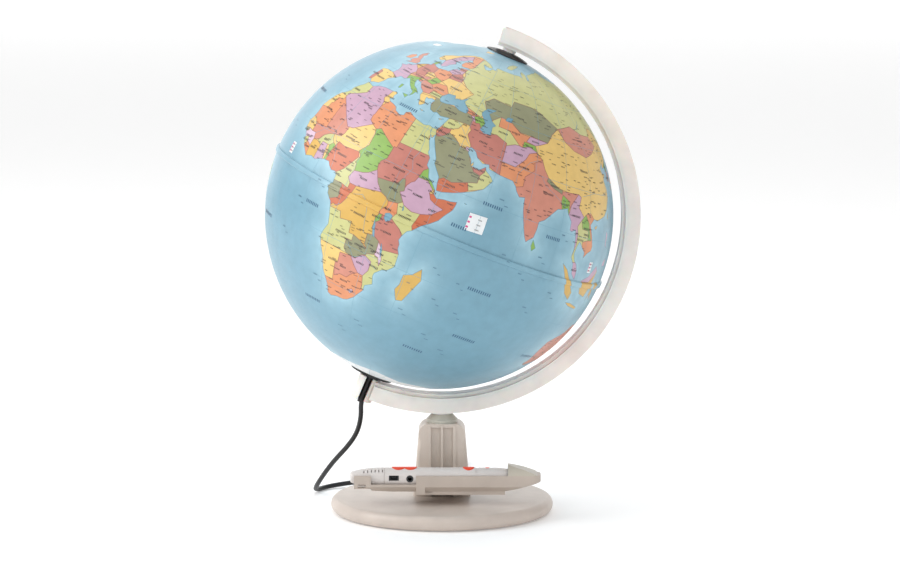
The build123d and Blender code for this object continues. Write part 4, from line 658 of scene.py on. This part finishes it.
    ("lime", "-125,49 -95,49 -84,46 -83,42 -79,43 -75,45 -71,45.2 -66.5,44 -70,38 -78,24 -97,26 -106,31.8"
             " -117.2,32.5 -128,40"),
    ("lime", "-141,60 -141,72 -170,72 -170,52 -131,54.5"),
    ("orange", "-117.2,32.5 -106,31.8 -97,26 -96,18 -87,22 -88.5,18 -92.2,14.5 -120,20"),
    ("lilac", "-92.2,14.5 -88.5,18 -83,16 -83,12 -87.6,12.5"),
    ("yellow", "-83,15.5 -76,8.5 -82,7 -87,11"),
    ("green", "-86,24 -74,20 -74,19.6 -86,21"),
    ("rose", "-79,9 -71,13 -72,7 -67,2 -70,-4 -79,1"),
    ("yellow", "-71,13 -60,11 -60,5 -67,2 -72,7"),
    ("orange", "-60,9 -51,5 -54,2 -60,3"),
    ("green", "-74,-7 -70,-4 -67,2 -60,5 -54,2 -50,5 -33,-5 -38,-25 -53,-34 -57.5,-30 -54,-24 -58,-20"
              " -60,-14 -70,-11"),
    ("salmon", "-82,-3 -79,1 -75,0 -78,-5"),
    ("orange", "-82,-4 -78,-5 -70,-4 -74,-7 -70,-11 -69,-17.5 -76,-16"),
    ("lilac", "-69,-17.5 -70,-11 -60,-14 -58,-20 -62,-22 -68,-22.5"),
    ("khaki", "-58,-20 -54,-24 -56,-27.5 -62,-22"),
    ("yellow", "-71,-17.5 -68,-22.5 -70,-35 -72,-52 -67,-56 -80,-50"),
    ("redbrown", "-68,-22.5 -62,-22 -56,-27.5 -54,-26 -58,-34 -55,-40 -66,-56 -72,-52 -70,-35"),
    ("lime", "-58,-30 -53,-33 -55,-36 -58.5,-34"),
    ("white", "-180,-62 180,-62 180,-84 -180,-84"),
)]
COUNTRIES += [("white", outline) for outline in LEGENDS]
print(len(LAND), "coasts,", len(COUNTRIES), "countries and legends")

# %% [markdown]
# The chart is cut into triangles that follow every outline, and each triangle takes one ink. A row of
# triangles each side of the equator rises into the bead that hides the joint between the two halves.

# %% cut and ink the chart
GRID_STEP = 3.0
GRID_ROWS = np.arange(-81, 87.1, GRID_STEP)
GRID_COLUMNS = np.arange(-180, 180.1, GRID_STEP)
CUT_GAP = 1e-4
# The caps over the poles hide what lies past these latitudes
LIMITS = (-83.8, 87.6)
# Degrees from the equator, and the radius there in millimetres
BEAD = ((0.0, 151.7), (0.62, 151.7), (0.87, 151.2), (0.93, 150.0))


def ball_radius(latitude):
    """The ball's radius, with the raised bead along the equator."""
    height = abs(latitude)
    for (low, start), (high, end) in zip(BEAD, BEAD[1:]):
        if height <= high:
            return start + (end - start) * (height - low) / (high - low)
    return GLOBE_RADIUS


def on_ball(longitude, latitude, lift=0.0):
    """The place on the tilted ball, in metres."""
    turn, rise = math.radians(longitude - REST_MERIDIAN), math.radians(latitude)
    radius = ball_radius(latitude) + lift
    x, y, z = math.cos(rise) * math.cos(turn), math.cos(rise) * math.sin(turn), math.sin(rise)
    way = Vector((x * math.cos(TILT) + z * math.sin(TILT), y, z * math.cos(TILT) - x * math.sin(TILT)))
    return (GLOBE_CENTRE + way * radius) * MM


def inside(outline, spots):
    """Which of the spots lie inside the outline, by counting the sides that a line to the right crosses."""
    x, y = spots[:, 0], spots[:, 1]
    hit = np.zeros(len(spots), bool)
    for (x0, y0), (x1, y1) in zip(outline, outline[1:] + outline[:1]):
        if y0 == y1:
            continue
        crosses = ((y0 > y) != (y1 > y)) & (x < (x1 - x0) * (y - y0) / (y1 - y0) + x0)
        hit ^= crosses
    return hit


def short_steps(start, end):
    """Places along a straight line on the chart, no further apart than the grid's step."""
    (x0, y0), (x1, y1) = start, end
    parts = max(1, math.ceil(max(abs(x1 - x0), abs(y1 - y0)) / GRID_STEP))
    return [(x0 + (x1 - x0) * k / parts, y0 + (y1 - y0) * k / parts) for k in range(parts + 1)]


def chart_mesh():
    """Triangles over the chart, cut along the outlines, the equator's bead and a grid."""
    points, lines = [], []
    for row in GRID_ROWS:
        if abs(row) > CUT_GAP:
            points += [(lon, row) for lon in GRID_COLUMNS]
    rows = [sign * height for height, _ in BEAD[1:] for sign in (-1, 1)] + [0.0, *LIMITS]
    for row in rows:
        first = len(points)
        points += [(lon, row) for lon in GRID_COLUMNS]
        lines += [(k, k + 1) for k in range(first, len(points) - 1)]
    for outline in LAND + WATER + [outline for _, outline in COUNTRIES]:
        first = len(points)
        for start, end in zip(outline, outline[1:] + outline[:1]):
            points += [(x, min(max(y, LIMITS[0]), LIMITS[1])) for x, y in short_steps(start, end)[:-1]]
        count = len(points) - first
        lines += [(first + k, first + (k + 1) % count) for k in range(count)]
    result = delaunay_2d_cdt([Vector(point) for point in points], lines, [], 0, CUT_GAP)
    return [tuple(vert) for vert in result[0]], [tuple(face) for face in result[2]]


chart_points, chart_faces = chart_mesh()
chart = np.array(chart_points)
middles = np.array([chart[list(face)].mean(axis=0) for face in chart_faces])
land = np.zeros(len(middles), bool)
for outline in LAND:
    land |= inside(outline, middles)
for outline in WATER:
    land &= ~inside(outline, middles)
for outline in LEGENDS:
    land |= inside(outline, middles)
ink = np.full(len(middles), -1)
for number, (_, outline) in enumerate(COUNTRIES):
    ink[inside(outline, middles) & land] = number
ink[land & (ink < 0)] = 0
print(len(chart_faces), "triangles,", int(land.sum()), "of land")

# %% [markdown]
# The sea is printed as a wash: pale over the shallows by the coast and deeper blue further out.

# %% wrap the chart round the ball
SEA_DEEP, SEA_SHELF = "#709FB3", "#9DC5D4"
SHELF_REACH = 4.0
BATCH = 2000
SHELL_WALL = 1.6
SHARP_ANGLE = math.radians(30)
DATE_LINE = 179.999
shore = np.array([point for outline in LAND for point in outline])


def sea_colours(spots):
    """The wash's colour at each spot, from how near the coast is."""
    spread = np.cos(np.radians(spots[:, 1]))[:, None]
    gaps = np.empty(len(spots))
    for first in range(0, len(spots), BATCH):
        part = slice(first, first + BATCH)
        east = (spots[part, None, 0] - shore[None, :, 0]) * spread[part]
        north = spots[part, None, 1] - shore[None, :, 1]
        gaps[part] = np.sqrt((east**2 + north**2).min(axis=1))
    near = np.exp(-gaps / SHELF_REACH)[:, None]
    return np.array(linear(SEA_DEEP)) * (1 - near) + np.array(linear(SEA_SHELF)) * near


point_sea = sea_colours(chart)
country_colours = [linear(INKS[name]) for name, _ in COUNTRIES]


def half_ball(name, sign):
    """One half of the ball: the printed outside, the same surface a wall's thickness inside, and rims."""
    chosen = [k for k, middle in enumerate(middles) if middle[1] * sign > 0]
    mesh = bmesh.new()
    colour_layer = mesh.loops.layers.float_color.new("print")
    centre = GLOBE_CENTRE * MM
    pairs = {}

    def outside_and_inside(index):
        """The two vertices at a chart point; both ends of the date line share theirs."""
        lon, lat = chart_points[index]
        lon = -180.0 if lon > DATE_LINE else lon
        key = (round(lon, 4), round(lat, 4))
        if key not in pairs:
            place = on_ball(lon, lat)
            deeper = centre + (place - centre).normalized() * (GLOBE_RADIUS - SHELL_WALL) * MM
            pairs[key] = (mesh.verts.new(place), mesh.verts.new(deeper))
        return pairs[key]

    for k in chosen:
        trio = [outside_and_inside(index) for index in chart_faces[k]]
        if len({pair[0] for pair in trio}) < 3:
            continue
        face = mesh.faces.new([pair[0] for pair in trio])
        for corner, index in zip(face.loops, chart_faces[k]):
            corner[colour_layer] = country_colours[ink[k]] if land[k] else tuple(point_sea[index])
        mesh.faces.new([pair[1] for pair in reversed(trio)])
    twin = dict(pairs.values())
    rims = [edge for edge in mesh.edges if len(edge.link_faces) == 1 and edge.verts[0] in twin]
    for edge in rims:
        loop = edge.link_loops[0]
        a, b = loop.vert, loop.link_loop_next.vert
        mesh.faces.new([b, a, twin[a], twin[b]])
    for face in mesh.faces:
        face.smooth = True
    data = bpy.data.meshes.new(name)
    mesh.to_mesh(data)
    mesh.free()
    piece = add_piece(name, data)
    data.set_sharp_from_angle(angle=SHARP_ANGLE)
    print(name, len(data.polygons), "faces")
    return piece


north_half = half_ball("north_print", 1)
south_half = half_ball("south_print", -1)
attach(north_half, "globe")
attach(south_half, "globe")
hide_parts("north_hemisphere", "equator_ring")
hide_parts("south_hemisphere")

# %% [markdown]
# Ink on plastic under a clear lacquer: an even satin gloss, with the faintest unevenness in the wash.

# %% the print's finish
LACQUER_WEIGHT = 0.3
LACQUER_ROUGHNESS = (0.34, 0.42)
CLOUD_MM = 9.0
ORANGE_PEEL_MM = 1.5


def printed(name, speckle):
    """Lacquered print, whose colour comes from the corners of the mesh."""
    material = bpy.data.materials.new(name)
    material.use_nodes = True
    tree = material.node_tree
    shader = tree.nodes["Principled BSDF"]
    shader.inputs["Coat Weight"].default_value = LACQUER_WEIGHT
    shader.inputs["Coat Roughness"].default_value = LACQUER_ROUGHNESS[1]
    colour = tree.nodes.new("ShaderNodeAttribute")
    colour.attribute_name = "print"
    cloud = ramp(tree, grain(tree, CLOUD_MM, 6.0).outputs["Fac"], grey(1 - speckle), grey(1.0), 0.3, 0.7)
    mix = tree.nodes.new("ShaderNodeMix")
    mix.data_type = "RGBA"
    mix.blend_type = "MULTIPLY"
    mix.inputs["Factor"].default_value = 1.0
    tree.links.new(colour.outputs["Color"], mix.inputs[6])
    tree.links.new(cloud.outputs["Color"], mix.inputs[7])
    tree.links.new(mix.outputs[2], shader.inputs["Base Color"])
    gloss = ramp(tree, grain(tree, ORANGE_PEEL_MM).outputs["Fac"], *[grey(k) for k in LACQUER_ROUGHNESS])
    tree.links.new(gloss.outputs["Color"], shader.inputs["Roughness"])
    return material


dress(north_half, printed("map_print", 0.1))
dress(south_half, north_half.material_slots[0].material)

# %% [markdown]
# The lines come from a second, dark plate: coasts, borders, the degree net and rivers. Each line is a row of
# thin flat strips just above the print. Names come from the same plate. They are only rows of small dashes
# here, which is as far as an eye can tell from across a desk.

# %% coasts, borders, the degree net and rivers
LINE_LIFT = 0.05
COAST_WIDTH, BORDER_WIDTH, NET_WIDTH, RIVER_WIDTH = 0.34, 0.38, 0.22, 0.26
NET_STEP = 15
PLACES = 5000
COAST, BORDER, NET = "#4E8AA4", "#8C5A52", "#6E9FB3"
NAME, SEA_NAME, PINK = "#3A3434", "#2F5F80", "#D04A86"

strips = bmesh.new()
strip_colour = strips.loops.layers.float_color.new("print")


def strip(start, end, width, colour):
    """A thin flat line between two chart places."""
    a, b = on_ball(*start, LINE_LIFT), on_ball(*end, LINE_LIFT)
    if (b - a).length < 1e-6:
        return
    out = ((a + b) / 2 - GLOBE_CENTRE * MM).normalized()
    side = (b - a).cross(out).normalized() * width / 2 * MM
    face = strips.faces.new([strips.verts.new(place) for place in (a - side, a + side, b + side, b - side)])
    if face.normal.dot(out) < 0:
        face.normal_flip()
    for corner in face.loops:
        corner[strip_colour] = colour


def long_line(places, width, colour):
    """Strips from place to place, short enough to follow the ball."""
    for start, end in zip(places, places[1:]):
        spots = short_steps(start, end)
        for here, there in zip(spots, spots[1:]):
            strip(here, there, width, colour)


def word(longitude, latitude, letters, height, colour):
    """A row of small upright dashes that reads as a name from far off."""
    step = height * 0.72
    wide = math.degrees(step / GLOBE_RADIUS) / max(math.cos(math.radians(latitude)), 0.2)
    tall = math.degrees(height / GLOBE_RADIUS)
    for k in range(letters):
        x = longitude + (k - letters / 2) * wide
        strip((x, latitude - tall / 2), (x, latitude + tall / 2), step * 0.5, colour)


sides = {}
for k, face in enumerate(chart_faces):
    for a, b in zip(face, face[1:] + face[:1]):
        sides.setdefault((min(a, b), max(a, b)), []).append(k)
for (a, b), pair in sides.items():
    if len(pair) == 2 and ink[pair[0]] != ink[pair[1]]:
        coast = land[pair[0]] != land[pair[1]]
        width, colour = (COAST_WIDTH, COAST) if coast else (BORDER_WIDTH, BORDER)
        strip(chart_points[a], chart_points[b], width, linear(colour))
for lon in range(-180, 180, NET_STEP):
    long_line([(lon, -80), (lon, 84)], NET_WIDTH, linear(NET))
for lat in range(-75, 90, NET_STEP):
    if lat:
        long_line([(-180, lat), (180, lat)], NET_WIDTH, linear(NET))
RIVERS = [corners(text) for text in (
    "31.2,31.2 31,28 32.5,26 33,22 32,19 33.5,16 32.5,13 31.5,9 32.5,4 32,1",
    "12.5,-6 16,-3.5 18,0.5 22,2 25,0 26,-5 27,-9",
    "6.5,5 6,8 4,12 0,16 -4,16 -9,12",
    "35,-18.5 30,-16 26,-17.8 23,-14",
    "48.5,30 46,32 43,35 40,37",
    "68,24.5 68,28 72,33 76,35",
    "90,23 85,25.5 80,27.5 78,30",
    "122,31.5 115,30 108,30 100,28",
    "-50,0 -55,-2.5 -62,-3.5 -72,-4",
    "-89.5,29.5 -91,34 -90,39 -94,46",
    "31,46 31,50 31,55",
    "48,46 45,48.5 49,53 43,56.5",
)]
for river in RIVERS:
    long_line(river, RIVER_WIDTH, linear(SEA_DEEP))

# %% [markdown]
# Names go on next: a large one in the middle of each country whose middle lies in Africa, Europe and Asia or
# North
# America, and thousands of small ones for the towns, from a seeded dice so that they fall the same way each
# time. A name at sea is blue.

# %% names of countries, towns and seas
COUNTRY_NAME_HEIGHT, SEA_NAME_HEIGHT = 1.7, 2.8
MAINLAND = LAND[:3]
TOWN_LAND = LAND[:5]
dice = random.Random(7)
for _, outline in COUNTRIES[1:]:
    middle = np.mean(outline, axis=0)
    if any(inside(coast, middle[None])[0] for coast in MAINLAND):
        word(*middle, dice.randint(5, 9), COUNTRY_NAME_HEIGHT, linear(NAME))
spots = [(dice.uniform(-180, 180), math.degrees(math.asin(dice.uniform(-0.9, 0.95)))) for _ in range(PLACES)]
on_land = np.any([inside(outline, np.array(spots)) for outline in TOWN_LAND], axis=0)
for spot, dry in zip(spots, on_land):
    if dry:
        word(*spot, dice.randint(4, 8), dice.uniform(0.6, 1.0), linear(NAME))
# Longitude, latitude and number of letters
SEAS = (
    (-30, 25, 13), (-25, -20, 13), (70, -12, 11), (75, -30, 11), (63, 15, 9), (88, 12, 8), (-150, 10, 12),
    (-140, -30, 12), (20, 34, 9), (5, -8, 8), (60, -42, 9), (55, 5, 7), (10, -40, 9), (110, -30, 9),
)
for lon, lat, letters in SEAS:
    word(lon, lat, letters, SEA_NAME_HEIGHT, linear(SEA_NAME))

# %% [markdown]
# Each white box at sea gets three rows, with a pink sign at the left and a short line of print beside it.
# Groups of islands are too small to colour, so they only have two rows of blue print.

# %% legends and island names
LEGEND_ROWS = (0.22, 0.5, 0.78)
SIGN_START, SIGN_END, SIGN_WIDTH = 0.3, 1.1, 1.6
for outline in LEGENDS:
    (west, top), (east, _) = outline[:2]
    bottom = outline[3][1]
    for row in LEGEND_ROWS:
        lat = top + (bottom - top) * row
        strip((west + SIGN_START, lat), (west + SIGN_END, lat), SIGN_WIDTH, linear(PINK))
        word(west + 0.68 * (east - west), lat, 5, 1.0, linear(NAME))
ISLANDS = (
    (47, -18, 4), (53, -10, 4), (57, -20, 5), (62, -12, 4), (66, -22, 5), (72, 2, 5), (80, -2, 5), (85, 5, 6),
    (5, 0, 5), (-2, -8, 6), (-8, -20, 6), (48, -28, 6), (60, -34, 6), (70, -38, 7), (88, -12, 6), (95, -5, 6),
    (12, -30, 6), (33, -40, 7), (25, -46, 7), (92, 14, 5), (65, 18, 6), (-28, 12, 6), (-22, 34, 6),
)
for lon, lat, letters in ISLANDS:
    word(lon, lat, letters, 1.0, linear(SEA_NAME))
    word(lon + 2, lat - 1.6, letters, 0.8, linear(SEA_NAME))
line_mesh = bpy.data.meshes.new("map_lines")
strips.to_mesh(line_mesh)
strips.free()
map_lines = add_piece("map_lines", line_mesh)
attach(map_lines, "globe")
dress(map_lines, printed("map_ink", 0.02))
print("map lines", len(line_mesh.polygons), "strips")
